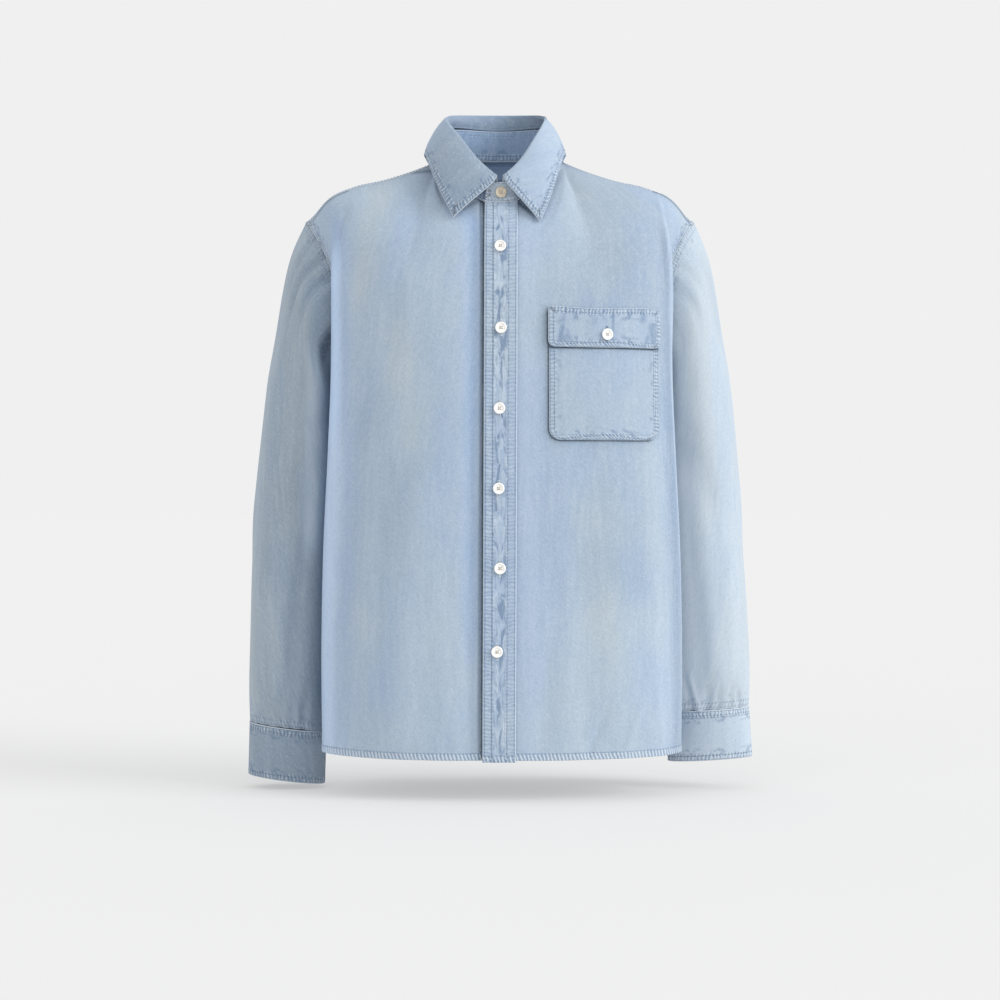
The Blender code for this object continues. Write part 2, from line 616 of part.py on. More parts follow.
def cuff_points(angles, rows, side_rings, edge, sign):
    """Outer face of a cuff, from its lower edge (0) to its seam (1)."""
    lap = (BAND_WALL + LAID_GAP) * ease((angles - CUFF_START - 360.0) / CUFF_LAP + CUFF_LAP_EASE)
    low = ring(angles, *edge, sign, out=lap)
    high = ring(angles, *side_rings[-1, 1:], sign, out=lap + LAID_GAP)
    rows = rows[:, None, None]
    return low * (1 - rows) + high * rows


def build_sleeves():
    for side, sign, rings, edge in SIDES:
        name = "sleeve_" + side
        grid = draw_in(sleeve_points(sleeve_angles(), SLEEVE_ROWS, rings, sign), ("high",))
        draw_in(grid, ("low",), 3 * BEND_GAP)
        add_shell(name, grid, WALL, DENIM_LIGHT, wrap=True, flip=sign < 0)


def build_cuffs():
    angles = np.linspace(CUFF_START, CUFF_START + 360.0 + CUFF_LAP, CUFF_COLUMNS)
    lap = np.array((CUFF_LAP_ANGLE + 360.0,))
    for side, sign, rings, edge in SIDES:
        grid = draw_in(cuff_points(angles, np.linspace(0.0, 1.0, 4), rings, edge, sign), ("high",))
        add_shell("cuff_" + side, grid, BAND_WALL, DENIM_DEEP, flip=sign > 0)
        middle = cuff_points(lap, np.array((0.5,)), rings, edge, sign)[0, 0]
        outward = Vector((sign * cos(radians(lap[0])), -sin(radians(lap[0])), 0.0))
        add_button("button_cuff_" + side, middle, outward, lift=3 * BUTTON_LIFT)


def build_sleeve_plackets():
    """A strip over the slit above each cuff, set on one flat stretch between two columns."""
    angles = sleeve_angles()
    first = np.searchsorted(angles, CUFF_LAP_ANGLE) - 1
    rows = SLEEVE_ROWS >= SLEEVE_PLACKET_TOP
    widths = np.full((rows.sum(), 1, 1), SLEEVE_PLACKET_WIDTH)
    widths[0] = SLEEVE_PLACKET_TIP
    for side, sign, rings, _ in SIDES:
        grid = sleeve_points(angles, SLEEVE_ROWS, rings, sign)[rows]
        edge_0, edge_1 = grid[:, first:first + 1], grid[:, first + 1:first + 2]
        middle = (edge_0 + edge_1) / 2
        strip = np.concatenate((middle + (edge_0 - middle) * widths,
                                middle + (edge_1 - middle) * widths), axis=1)
        strip[-1] += (strip[-2] - strip[-1]) * SLEEVE_PLACKET_SHORT
        strip += normals(strip) * sign * (LAID_GAP + WALL)
        add_shell("sleeve_placket_" + side, strip, WALL, DENIM_LIGHT, flip=sign < 0)


# ---------------------------------------------------------------- on the fronts
FINE_LEVELS = np.linspace(0.0, 1.0, 201)        # levels and stations at which the front is read
FINE_STATIONS = np.linspace(-0.74, 0.74, 149)
NEAR = np.array((-0.004, 0.0, 0.004))           # metres either side of a point
NEAR_LEVELS = np.array((-0.002, 0.0, 0.002))


def level_of(z, station=POCKET_COLUMN):
    """Share of the front's height at which the column at the station has the height z."""
    columns = station + NEAR[1:]
    heights = front_points(columns, FINE_LEVELS, folded=False)[:, 0, 2]
    return np.interp(z, heights, FINE_LEVELS)


def stations_at(x, up):
    """Stations of the front that lie at the places x on the level up."""
    line = front_points(FINE_STATIONS, np.array((up, up)), folded=False)[0]
    return np.interp(x, line[:, 0], FINE_STATIONS)


def laid_points(places, levels, lift):
    """Points of the front under a piece, moved out; places holds a row of x for each level."""
    grid = []
    for x, up in zip(places, levels):
        stations = stations_at(x, up)
        near = front_points(stations, up + NEAR_LEVELS)
        grid.append(near[1] + normals(near)[1] * np.broadcast_to(lift, (len(x),))[:, None])
    return np.array(grid)


def build_placket():
    up = panel_rows(FRONT_ARMHOLE)
    up[0] = PLACKET_BOTTOM
    up[-1] = PLACKET_TOP
    lean = PLACKET_LEAN * (1 - up)
    places = [np.linspace(PLACKET_RIGHT_X, PLACKET_LEFT_X, 6) + shift for shift in lean]
    grid = laid_points(places, up, LAID_GAP + PLACKET_WALL)
    grid[0, :, 2] -= PLACKET_DROP
    add_shell("placket", grid, PLACKET_WALL, DENIM_DEEP)


CORNER_STEPS = np.array((0.0, 0.08, 0.3, 0.62, 1.0))


def rounded_rows(x, z, corner, rows, columns):
    """A flat patch with rounded lower corners: a row of places for each height."""
    rise = corner * CORNER_STEPS
    heights = np.concatenate((z[0] + rise, np.linspace(z[0] + corner, z[1], rows)[1:]))
    inset = np.zeros(len(heights))
    inset[:len(rise)] = corner - np.sqrt(corner ** 2 - (corner - rise) ** 2)
    places = [np.linspace(x[0] + i, x[1] - i, columns) for i in inset]
    return places, heights


def build_pocket():
    places, heights = rounded_rows(POCKET_X, POCKET_Z, POCKET_CORNER, 7, 11)
    grid = laid_points(places, level_of(heights), LAID_GAP + WALL)
    add_shell("pocket", grid, WALL, DENIM_LIGHT)


def build_flap():
    places, heights = rounded_rows(FLAP_X, FLAP_Z, FLAP_CORNER, 5, 11)
    pocket = (LAID_GAP + WALL) * ease((POCKET_Z[1] - heights) / FLAP_STEP + FLAP_EASE)
    grid = [laid_points([x], [level_of(z)], LAID_GAP + BAND_WALL + under)[0]
            for x, z, under in zip(places, heights, pocket)]
    add_shell("pocket_flap", np.array(grid), BAND_WALL, DENIM_LIGHT)


def front_button(name, x, z, lift, station):
    """Sew a button on over the front, which is read along the column at the station."""
    up = level_of(z, station)
    patch = front_points(stations_at(x + NEAR, up), up + NEAR)
    way = normals(patch)[1, 1]
    add_button(name, patch[1, 1] + way * lift, Vector(way))


def build_buttons():
    for number, (x, z) in enumerate(zip(BUTTON_X, BUTTON_HEIGHTS), start=1):
        front_button(f"button_{number}", x, z, LAID_GAP + PLACKET_WALL, 0.0)
    front_button("button_pocket", *POCKET_BUTTON, 2 * LAID_GAP + WALL + BAND_WALL, POCKET_COLUMN)


# ---------------------------------------------------------------- collar
def stand_top(angle):
    """Seam between stand and leaf; degrees as on the neck line."""
    a = np.radians(angle)
    fall = ((1 + np.cos(a)) / 2) ** STAND_TOP_DROP
    return np.stack((STAND_TOP_HALF_WIDTH * np.sin(a),
                     NECK_MIDDLE_Y + 0.002 - STAND_TOP_HALF_DEPTH * np.cos(a),
                     STAND_TOP_BACK_Z - (STAND_TOP_BACK_Z - STAND_TOP_FRONT_Z) * fall), axis=-1)


def neck_outward(turn):
    """Level unit vectors out of the neck; turn starts at the centre front, by the right."""
    a = np.radians(turn)
    return np.stack((-np.sin(a), -np.cos(a), np.zeros(len(a))), axis=1)


def lap_lift(turn):
    """How far the collar stands out where its upper end lies over the under end."""
    return ease((turn - STAND_LAP) / LAP_EASE) * (BAND_WALL + LAID_GAP)


def stand_points(turn, rows):
    """Outer face of the stand; turn runs from the under end by the back to the upper end."""
    low = neck_line(turn)
    high = stand_top(turn)
    for line in (low, high):
        line[:, 0] *= -1.0
    over = lap_lift(turn)[:, None] * neck_outward(turn)
    low += over
    high += over
    end = np.clip((turn - STAND_UPPER_END) / STAND_END_RADIUS + 1.0, 0.0, 1.0)
    high[:, 2] -= STAND_END_DROP * (1 - np.sqrt(1 - end ** 2))
    rows = rows[:, None, None]
    return low * (1 - rows) + high * rows


def build_stand():
    neck = np.linspace(0.0, YOKE_NECK_ANGLE, NECK_STEPS + 1)
    yoke = np.linspace(YOKE_NECK_ANGLE, 180.0, NECK_STEPS + 2)
    half = np.concatenate((neck, yoke[1:]))
    end = STAND_UPPER_END - STAND_END_STEPS
    turn = np.concatenate(((STAND_UNDER_END,), half, 360.0 - half[-2::-1], end))
    grid = draw_in(stand_points(turn, np.linspace(0.0, 1.0, 4)), ("low", "high"))
    add_shell("collar_stand", grid, BAND_WALL, DENIM_DEEP, flip=True)
    turn, row = COLLAR_BUTTON
    middle = stand_points(np.array((turn,)), np.array((row,)))[0, 0]
    outward = Vector((0.0, -1.0, BUTTON_TILT)).normalized()
    add_button("button_collar", middle, outward, lift=2 * BUTTON_LIFT)


def leaf_points(turn, across):
    """Face of the leaf: up from the stand, over the fold and down to its outer edge."""
    angle = np.minimum(turn, 360.0 - turn)
    side = np.where(turn < 180.0, -1.0, 1.0)
    around = np.concatenate((COLLAR, COLLAR[-2:-1]))
    around[-1, 0] = 360.0 - around[-1, 0]
    around[-1, 2] *= -1.0
    fold_z, edge_x, edge_y, edge_z = smooth_curve(around[:, 0], around[:, 1:], angle).T
    front = 1 - ease(angle / LEAF_FRONT)
    left_drop = front * LEFT_POINT_DROP * (side > 0)
    edge = np.stack((side * (edge_x - 0.5 * left_drop) + LEAF_LEAN * (1 - 0.6 * front), edge_y,
                     edge_z - left_drop), axis=1)
    outward = neck_outward(turn)
    up = np.array((0.0, 0.0, 1.0))
    start = stand_top(angle)
    start[:, 0] *= side
    rise = up * (fold_z - start[:, 2])[:, None]
    lean = np.array((LEAF_LEAN, 0.0, 0.0)) * ease(angle / 90.0)[:, None]
    sideways = np.sin(np.radians(angle)) ** 2
    narrow = np.zeros_like(edge)
    narrow[:, 0] = -side * LEAF_NARROW * sideways
    clear = LAID_GAP * (1 + front) + LEAF_CLEAR * sideways
    inner = start + outward * (lap_lift(turn) - BAND_WALL)[:, None] + up * clear[:, None]
    lines = [inner + outward * ROLL * out + (rise + narrow) * height + lean * leaning_share
             for _, out, height, leaning_share in LEAF_RISE]
    top = lines[-1]
    shoulder = (top + outward * ROLL * SHOULDER_OUT - up * ROLL * SHOULDER_DOWN
                + (edge - top) * SHOULDER_SHARE)
    middle = (shoulder + edge) / 2 + (edge - shoulder) * MIDDLE_SHIFT + outward * LEAF_WAIST
    keys = [row[0] for row in LEAF_RISE] + list(LEAF_FALL)
    return smooth_curve(keys, np.array(lines + [shoulder, middle, edge]), across)


def build_leaf():
    half = np.concatenate(((LEAF_START_ANGLE,), np.linspace(9.0, 180.0, 15)))
    turn = np.concatenate((half, 360.0 - half[-2::-1]))
    across = np.array((0.0, 0.12, 0.20, 0.25, 0.29, 0.34, 0.40, 0.55, 0.70, 0.85, 1.0))
    grid = draw_in(leaf_points(turn, across), ("low",))
    add_shell("collar_leaf", grid, BAND_WALL, DENIM_LIGHT)


def main():
    for item in list(bpy.data.objects):
        bpy.data.objects.remove(item, do_unlink=True)
    bpy.context.scene.collection.children.link(SHIRT)
    build_fronts()
    build_back()
    build_yoke()
    build_sleeves()
    build_cuffs()
    build_sleeve_plackets()
    build_placket()
    build_pocket()
    build_flap()
    build_buttons()
    build_stand()
    build_leaf()


SHIRT = bpy.data.collections.new("denim_shirt")

if __name__ == "__main__":
    main()
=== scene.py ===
"""Denim shirt, dressed: thin cloth shells, stitching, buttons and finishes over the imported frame.

Axes: +X to the wearer's left, -Y to the front, +Z up, in metres.  Right and left are the
wearer's.  Every cloth piece is a grid of points on the same surface as its solid, with finer
creases, and carries its cut as a UV map in metres.
"""

from math import cos, pi, radians, sin

import bmesh
import bpy
import numpy as np
from bpy.props import FloatProperty, FloatVectorProperty, PointerProperty
from mathutils import Matrix, Vector


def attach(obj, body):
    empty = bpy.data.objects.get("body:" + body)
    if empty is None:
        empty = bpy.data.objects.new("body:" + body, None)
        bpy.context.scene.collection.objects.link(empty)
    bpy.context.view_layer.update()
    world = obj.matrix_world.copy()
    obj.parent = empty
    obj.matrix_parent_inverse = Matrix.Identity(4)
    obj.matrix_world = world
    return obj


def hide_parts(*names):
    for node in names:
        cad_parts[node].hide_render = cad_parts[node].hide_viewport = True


bl_info = {
    "name": "Denim Shirt",
    "version": (1, 0, 0),
    "blender": (4, 5, 0),
    "location": "3D View > Sidebar > Shirt",
    "description": "Dresses the packed frame of a long-sleeved denim shirt",
    "category": "Object",
}

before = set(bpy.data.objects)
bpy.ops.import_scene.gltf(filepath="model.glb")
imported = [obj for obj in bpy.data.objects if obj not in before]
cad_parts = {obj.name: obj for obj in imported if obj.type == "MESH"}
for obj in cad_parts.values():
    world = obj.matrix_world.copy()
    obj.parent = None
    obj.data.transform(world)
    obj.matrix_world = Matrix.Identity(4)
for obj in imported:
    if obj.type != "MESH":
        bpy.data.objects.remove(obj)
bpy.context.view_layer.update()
BODY = "root"

# ---------------- cloth and seams
SEAM_GAP = 0.0003
LAID_GAP = 0.0006          # under a piece that lies on a panel
SINGLE = 0.0012            # shown thickness of a single cloth
DOUBLED = 0.0020           # of collar, cuffs and flap
PLACKET_THICK = 0.0026
POCKET_CLOTH = 0.0015
SOLID_WALL = 0.0016        # walls of the solids, on whose outer faces the cloth lies
STEP = 0.0032              # distance between points of a panel
SEAM_ROWS = (0.0022, 0.0080)    # stitch rows, as distances from a sewn edge
YOKE_ROWS = (0.0018, 0.0078)
TRIM_ROWS = (0.0017, 0.0065)
BAND_ROWS = (0.0030, 0.0109)
HEM_ROW = 0.0084
TRIM_ROW = 0.0016
LAID_ROW = 0.0064
SEAM_BAND = (0.0090, 0.0005)    # width of a seam's layers and how far they stand out
HEM_BAND = (0.0088, 0.0006)
TRIM_EDGE = 0.0010         # radius of a turned edge, on trim and on what lies on a front
LAID_EDGE = 0.0012
SHOULDER_GAP = 0.0005      # wider than SEAM_GAP where two pieces meet at an angle
YOKE_GAP = 0.0006
SLEEVE_HEAD_GAP = 0.0018
FOLD_RELIEF = 0.0045       # a fold of this height counts as 1 in the finish

# neck edge: an oval that drops to the front
NECK_HALF_WIDTH = 0.0748
NECK_HALF_DEPTH = 0.0740
NECK_MIDDLE_Y = -0.0140
NECK_FRONT_Z = -0.0575
NECK_BACK_Z = 0.0123
NECK_DROP = 2.5
YOKE_NECK_ANGLE = 90.0

# armhole seam, which leans out at its top
ARMHOLE_X = 0.1890
ARMHOLE_REACH = 0.0450
ARMHOLE_LEAN = 3.2
ARMHOLE_Y = 0.0200
ARMHOLE_HALF_DEPTH = 0.0460
ARMHOLE_Z = -0.1530
ARMHOLE_HALF_HEIGHT = 0.0870
FRONT_SEAM_ANGLE = 22.0
BACK_SEAM_ANGLE = -45.0

UNDERARM = 0.76            # shares of a panel's height
CHEST = 0.88
CHEST_STEPS = (0.3, 0.6, 0.8, 1.0)
SIDE_SHIFT = 0.0020        # how far the body hangs to the wearer's left
HEM_DIP = 0.0040           # how much lower the hem is at its middle

# share of the way up, height, half width at the front fold, depth of front and of back
BODY_LEVELS = np.array([
    (0.00, -0.6965, 0.2118, 0.1220, 0.1080),
    (0.20, -0.5800, 0.2127, 0.1225, 0.1040),
    (0.40, -0.4600, 0.2105, 0.1225, 0.1005),
    (0.60, -0.3400, 0.2050, 0.1215, 0.1030),
    (0.76, -0.2400, 0.2015, 0.1190, 0.1110),
])
FRONT_CHEST = (0.88, -0.1300, 0.2015, 0.1105)
BACK_CHEST = (0.88, -0.1450, 0.2000, 0.1120)
BACK_TOP = (1.00, -0.0850, 0.2130, 0.0950)

# half a section: share of its length, share of the half width, share of the depth
FRONT_PROFILE = np.array([
    (0.000, 0.00, 1.000),
    (0.292, 0.44, 0.965),
    (0.514, 0.76, 0.800),
    (0.660, 0.94, 0.580),
    (0.751, 1.00, 0.370),
])
FRONT_RETURN = 0.858
RETURN_HOLLOW = 0.0020
RETURN_MIDDLE = 0.45
SEAM_EASE = 1.5
BACK_PROFILE = np.array([
    (0.000, 0.00, 1.000),
    (0.392, 0.44, 0.975),
    (0.667, 0.74, 0.870),
    (0.820, 0.88, 0.670),
])
BACK_RETURN = 0.917
BACK_TURN = 0.70
YOKE_EDGE_TURN = 0.75
SIDE_SEAM_WIDTH = 0.880
SIDE_SEAM_DEPTH = 0.25

# shoulder seam between the neck and the armhole, and how the panels leave it
SHOULDER_SEAM = np.array([
    (0.0950, -0.0240, -0.0100),
    (0.1352, -0.0300, -0.0243),
    (0.1746, -0.0270, -0.0333),
    (0.2059, -0.0170, -0.0473),
])
SEAM_CROWDING = 1.65
SEAM_SLOPE = radians(26.0)
LEFT_SEAM_SLOPE = radians(13.0)
SEAM_PULL = 0.1300
FRONT_NECK_SLOPE = radians(62.0)
FRONT_NECK_PULL = 0.0700
FRONT_CHEST_PULL = 0.1100
BACK_NECK_SLOPE = radians(-15.0)
BACK_NECK_PULL = 0.0500
YOKE_TURN = 45.0
YOKE_FALL_PULL = 0.1400
FRONT_NECK_STATION = 0.35
YOKE_NECK_STATION = 0.43
BACK_LAST_LEVELS = np.array((0.96, 1.0))

# a ring of a sleeve: share of its length, middle x, y, z, half width, half depth, outer lift
SLEEVE_RIGHT = np.array([
    (0.12, 0.2262, 0.0280, -0.1850, 0.0300, 0.0640, 0.0720),
    (0.25, 0.2335, 0.0350, -0.2450, 0.0395, 0.0680, 0.0520),
    (0.42, 0.2400, 0.0360, -0.3350, 0.0475, 0.0690, 0.0280),
    (0.62, 0.2485, 0.0340, -0.4550, 0.0505, 0.0620, 0.0100),
    (0.82, 0.2525, 0.0280, -0.5750, 0.0500, 0.0530, 0.0060),
    (0.94, 0.2560, 0.0210, -0.6430, 0.0470, 0.0440, 0.0060),
    (1.00, 0.2560, 0.0190, -0.6745, 0.0458, 0.0350, 0.0060),
])
SLEEVE_LEFT = np.array([
    (0.12, 0.2258, 0.0280, -0.1830, 0.0290, 0.0640, 0.0700),
    (0.25, 0.2325, 0.0350, -0.2400, 0.0375, 0.0680, 0.0500),
    (0.42, 0.2380, 0.0360, -0.3250, 0.0455, 0.0690, 0.0260),
    (0.62, 0.2445, 0.0340, -0.4400, 0.0480, 0.0610, 0.0080),
    (0.82, 0.2505, 0.0270, -0.5550, 0.0495, 0.0510, 0.0040),
    (0.94, 0.2525, 0.0190, -0.6220, 0.0490, 0.0410, 0.0030),
    (1.00, 0.2515, 0.0160, -0.6527, 0.0485, 0.0300, 0.0030),
])
# lower edge of a cuff: the columns of a ring after the first
CUFF_RIGHT_EDGE = (0.2575, 0.0160, -0.7377, 0.0462, 0.0310, 0.0058)
CUFF_LEFT_EDGE = (0.2532, 0.0130, -0.7132, 0.0510, 0.0250, 0.0030)
CUFF_LAP_ANGLE = 262.0
CUFF_LAP = 34.0
CUFF_START = CUFF_LAP_ANGLE - CUFF_LAP / 2
SLEEVE_PLACKET_TOP = 0.76
SLEEVE_PLACKET_END = 0.985
SLEEVE_PLACKET_TURN = 14.0
SLEEVE_PLACKET_HALF = 0.0125
SIDES = (
    ("right", -1.0, SLEEVE_RIGHT, CUFF_RIGHT_EDGE),
    ("left", 1.0, SLEEVE_LEFT, CUFF_LEFT_EDGE),
)

# collar: degrees from centre front, height of the fold, then the leaf's outer edge x, y, z
COLLAR = np.array([
    (0.0, -0.0298, 0.0500, -0.1030, -0.0795),
    (20.0, -0.0095, 0.0625, -0.0945, -0.0520),
    (45.0, 0.0215, 0.0735, -0.0765, -0.0225),
    (75.0, 0.0455, 0.0825, -0.0385, 0.0050),
    (105.0, 0.0580, 0.0850, 0.0100, 0.0105),
    (140.0, 0.0667, 0.0700, 0.0640, 0.0010),
    (180.0, 0.0703, 0.0000, 0.0910, -0.0030),
])
# collar stand: its upper edge, its ends and where the upper one laps over the under one
STAND_TOP_HALF_WIDTH = 0.0655
STAND_TOP_HALF_DEPTH = 0.0750
STAND_TOP_FRONT_Z = -0.0335
STAND_TOP_BACK_Z = 0.0504
STAND_TOP_DROP = 2.226
STAND_TOP_SHIFT = 0.002
STAND_LAP = 335.0
LAP_EASE = 18.0
STAND_UNDER_END = -10.5
STAND_UPPER_END = 374.0
STAND_END_RADIUS = 14.0
STAND_END_DROP = 0.0110
STAND_TAB = 338.0          # where the lapping end comes out from under the leaf
STAND_SHADED = 9.0         # degrees of the under end that lie in the shade
# collar leaf; its rise has share of its width, share of ROLL outwards, of its rise, of its lean
LEAF_LEAN = -0.0060
LEAF_START_ANGLE = 2.5
ROLL = 0.0042
LEAF_FRONT = 60.0
LEAF_WAIST = 0.0025
LEAF_NARROW = 0.0090
LEAF_CLEAR = 0.0014
LEAF_RISE = (
    (0.00, 0.0, 0.00, 0.0),
    (0.16, 0.1, 0.62, 0.3),
    (0.28, 1.0, 1.00, 0.9),
)
LEAF_FALL = (0.40, 0.70, 1.00)
LEFT_POINT_DROP = 0.0050

# front band, pocket, flap and buttons, by x and height or by x and share of the front's height
PLACKET_RIGHT_X = -0.0178
PLACKET_LEFT_X = 0.0206
PLACKET_LEAN = -0.0024
PLACKET_BOTTOM = 0.002
PLACKET_TOP = 0.9965
PLACKET_DROP = 0.0030
POCKET_X = (0.0560, 0.1835)
POCKET_Z = (-0.3335, -0.1930)
POCKET_CORNER = 0.0140
FLAP_X = (0.0548, 0.1845)
FLAP_Z = (-0.2268, -0.1795)
FLAP_CORNER = 0.0080
FLAP_STEP = 0.0080
BUTTON_HEIGHTS = (-0.1107, -0.2050, -0.2972, -0.3889, -0.4803, -0.5755)
BUTTON_X = (0.0004, 0.0011, -0.0006, -0.0015, 0.0000, -0.0034)
COLLAR_BUTTON = (359.0, 0.48)
BUTTON_TILT = 0.12
POCKET_BUTTON = (0.1215, -0.2110)
BUTTON_RADIUS = 0.0067
BUTTON_THICKNESS = 0.0030
BUTTON_LIFT = 0.0004
BUTTON_FACE = 0.60         # height of the sunk middle, as a share of the thickness
BUTTON_HOLE = 0.0013       # of a thread hole's middle from the button's, across and up
BUTTON_EDGE_STATION = 0.047
PLACKET_SEAM_STATION = 0.053

# lengths that set how many points the sleeves and the trim have
SLEEVE_ROUND = 0.385
CUFF_ROUND = 0.262
CUFF_TALL = 0.062
STAND_LONG = 0.48
STAND_TALL = 0.034
LEAF_LONG = 0.52
PLACKET_WIDE = 0.0384
PLACKET_LONG = 0.655

# folds: from station and share of the height, to station and share, half width in stations,
# how far out; on a sleeve the stations are degrees, and on the flap shares of its width
FRONT_FOLDS = (
    (-0.62, 0.02, -0.55, 0.70, 0.070, -0.0040),
    (-0.36, 0.00, -0.30, 0.55, 0.080, 0.0030),
    (0.34, 0.00, 0.30, 0.42, 0.075, -0.0030),
    (0.60, 0.00, 0.56, 0.62, 0.070, 0.0030),
)
BACK_FOLDS = (
    (-0.55, 0.00, -0.40, 0.80, 0.110, 0.0060),
    (-0.22, 0.00, -0.16, 0.66, 0.090, -0.0050),
    (0.12, 0.00, 0.10, 0.74, 0.090, 0.0045),
    (0.48, 0.00, 0.36, 0.70, 0.110, -0.0055),
)
SLEEVE_FOLDS = (
    (35.0, 0.06, 20.0, 0.30, 26.0, -0.0040),
    (300.0, 0.30, 345.0, 0.62, 30.0, 0.0045),
    (120.0, 0.40, 60.0, 0.60, 28.0, -0.0035),
    (250.0, 0.55, 310.0, 0.86, 26.0, -0.0040),
    (60.0, 0.70, 75.0, 0.93, 24.0, 0.0030),
)
FOLD_FADE = 0.12
# creases, only in the cloth: the same columns as the folds
FRONT_CREASES = (
    (-0.105, -0.10, -0.100, 0.97, 0.026, -0.0022),
    (-0.47, 0.18, -0.44, 0.58, 0.030, -0.0010),
    (-0.20, 0.05, -0.24, 0.38, 0.035, 0.0009),
    (-0.52, 0.62, -0.40, 0.86, 0.050, -0.0012),
    (-0.70, 0.84, -0.67, 0.955, 0.020, -0.0024),
    (0.700, 0.82, 0.672, 0.925, 0.018, -0.0034),
    (0.735, 0.80, 0.728, 0.93, 0.014, 0.0016),
    (0.42, -0.02, 0.52, 0.10, 0.018, 0.0016),
    (0.30, -0.02, 0.38, 0.09, 0.015, -0.0013),
    (0.16, 0.04, 0.20, 0.36, 0.040, -0.0012),
    (0.46, 0.42, 0.38, 0.66, 0.060, 0.0010),
)
BACK_CREASES = (
    (-0.30, 0.84, -0.20, 0.965, 0.030, -0.0022),
    (0.24, 0.82, 0.31, 0.965, 0.026, -0.0020),
    (-0.70, 0.40, -0.60, 0.76, 0.040, -0.0026),
    (0.72, 0.36, 0.60, 0.74, 0.040, -0.0024),
    (-0.05, 0.02, 0.02, 0.30, 0.040, 0.0016),
    (0.34, 0.10, 0.26, 0.48, 0.035, -0.0018),
    (-0.42, 0.05, -0.36, 0.34, 0.030, 0.0014),
    (0.60, 0.05, 0.66, 0.30, 0.030, 0.0018),
)
SLEEVE_CREASES = {
    "right": (
        (60.0, -0.06, 56.0, 0.20, 5.0, -0.0050),
        (75.0, -0.06, 80.0, 0.18, 5.0, -0.0040),
        (40.0, -0.06, 36.0, 0.16, 5.0, -0.0040),
        (99.0, 0.02, 112.0, 0.22, 9.0, -0.0030),
        (262.0, -0.06, 270.0, 0.18, 9.0, -0.0036),
        (300.0, -0.05, 292.0, 0.14, 8.0, -0.0024),
        (150.0, 0.28, 105.0, 0.38, 14.0, -0.0014),
        (110.0, 0.50, 95.0, 0.96, 12.0, -0.0028),
        (62.0, 0.86, 58.0, 1.04, 7.0, -0.0018),
        (84.0, 0.93, 78.0, 1.06, 6.0, -0.0022),
        (102.0, 0.94, 94.0, 1.06, 6.0, -0.0026),
        (122.0, 0.92, 112.0, 1.06, 7.0, -0.0030),
        (44.0, 0.94, 42.0, 1.06, 5.0, -0.0018),
        (22.0, 0.92, 25.0, 1.06, 6.0, -0.0016),
        (205.0, 0.92, 214.0, 1.06, 8.0, -0.0030),
        (232.0, 0.86, 238.0, 1.06, 9.0, -0.0044),
        (285.0, 0.88, 280.0, 1.06, 9.0, -0.0042),
        (312.0, 0.93, 306.0, 1.06, 7.0, -0.0028),
        (210.0, 0.40, 250.0, 0.54, 14.0, -0.0036),
        (225.0, 0.52, 262.0, 0.60, 12.0, -0.0030),
    ),
    "left": (
        (88.0, -0.06, 80.0, 0.17, 7.0, -0.0016),
        (66.0, -0.06, 62.0, 0.15, 6.0, -0.0012),
        (110.0, -0.02, 118.0, 0.18, 8.0, -0.0008),
        (265.0, -0.06, 272.0, 0.20, 9.0, -0.0036),
        (240.0, -0.04, 236.0, 0.16, 8.0, -0.0026),
        (140.0, 0.30, 100.0, 0.42, 14.0, -0.0012),
        (118.0, 0.42, 106.0, 0.92, 12.0, -0.0012),
        (78.0, 0.55, 70.0, 0.90, 12.0, -0.0014),
        (131.0, 0.925, 110.0, 1.03, 4.0, -0.0026),
        (122.0, 0.925, 104.0, 1.02, 3.6, 0.0022),
        (96.0, 0.95, 92.0, 1.06, 5.0, -0.0022),
        (80.0, 0.95, 79.0, 1.06, 4.0, -0.0014),
        (50.0, 0.955, 40.0, 1.01, 3.2, -0.0024),
        (63.0, 0.94, 60.0, 1.06, 5.0, -0.0012),
        (205.0, 0.92, 214.0, 1.06, 8.0, -0.0028),
        (232.0, 0.86, 238.0, 1.06, 9.0, -0.0042),
        (285.0, 0.88, 280.0, 1.06, 9.0, -0.0040),
        (315.0, 0.93, 308.0, 1.06, 7.0, -0.0026),
        (206.0, 0.38, 248.0, 0.50, 14.0, -0.0034),
        (222.0, 0.50, 258.0, 0.60, 12.0, -0.0030),
    ),
}
# beside the free edge of the front band, under which the right front dips
BAND_GROOVE = (
    (-0.0710, -0.10, -0.0650, 1.10, 0.0085, -0.0030),
)
YOKE_CREASES = (
    (-0.62, 0.10, -0.50, 0.85, 0.040, -0.0016),
    (0.60, 0.10, 0.52, 0.80, 0.036, -0.0014),
    (-0.30, 0.05, -0.34, 0.60, 0.040, -0.0012),
    (0.26, 0.10, 0.32, 0.70, 0.040, -0.0013),
)

FLOOR_GREY = 0.378
FLOOR_GLOW = 0.432         # added to the floor's own grey, so that the shadow on it stays pale


# ---------------- curves and grids
def smooth_curve(keys, values, at):
    """Cubic curve through the values at their keys, read at the places in at."""
    keys = np.asarray(keys, dtype=float)
    values = np.asarray(values, dtype=float)
    at = np.clip(np.asarray(at, dtype=float), keys[0], keys[-1])
    slopes = np.gradient(values, keys, axis=0)
    i = np.clip(np.searchsorted(keys, at, side="right") - 1, 0, len(keys) - 2)
    shape = (-1,) + (1,) * (values.ndim - 1)
    span = (keys[i + 1] - keys[i]).reshape(shape)
    t = (at - keys[i]).reshape(shape) / span
    return hermite(values[i], slopes[i] * span, values[i + 1], slopes[i + 1] * span, t)


def hermite(start, start_pull, end, end_pull, t):
    return ((2 * t ** 3 - 3 * t ** 2 + 1) * start + (t ** 3 - 2 * t ** 2 + t) * start_pull
            + (3 * t ** 2 - 2 * t ** 3) * end + (t ** 3 - t ** 2) * end_pull)


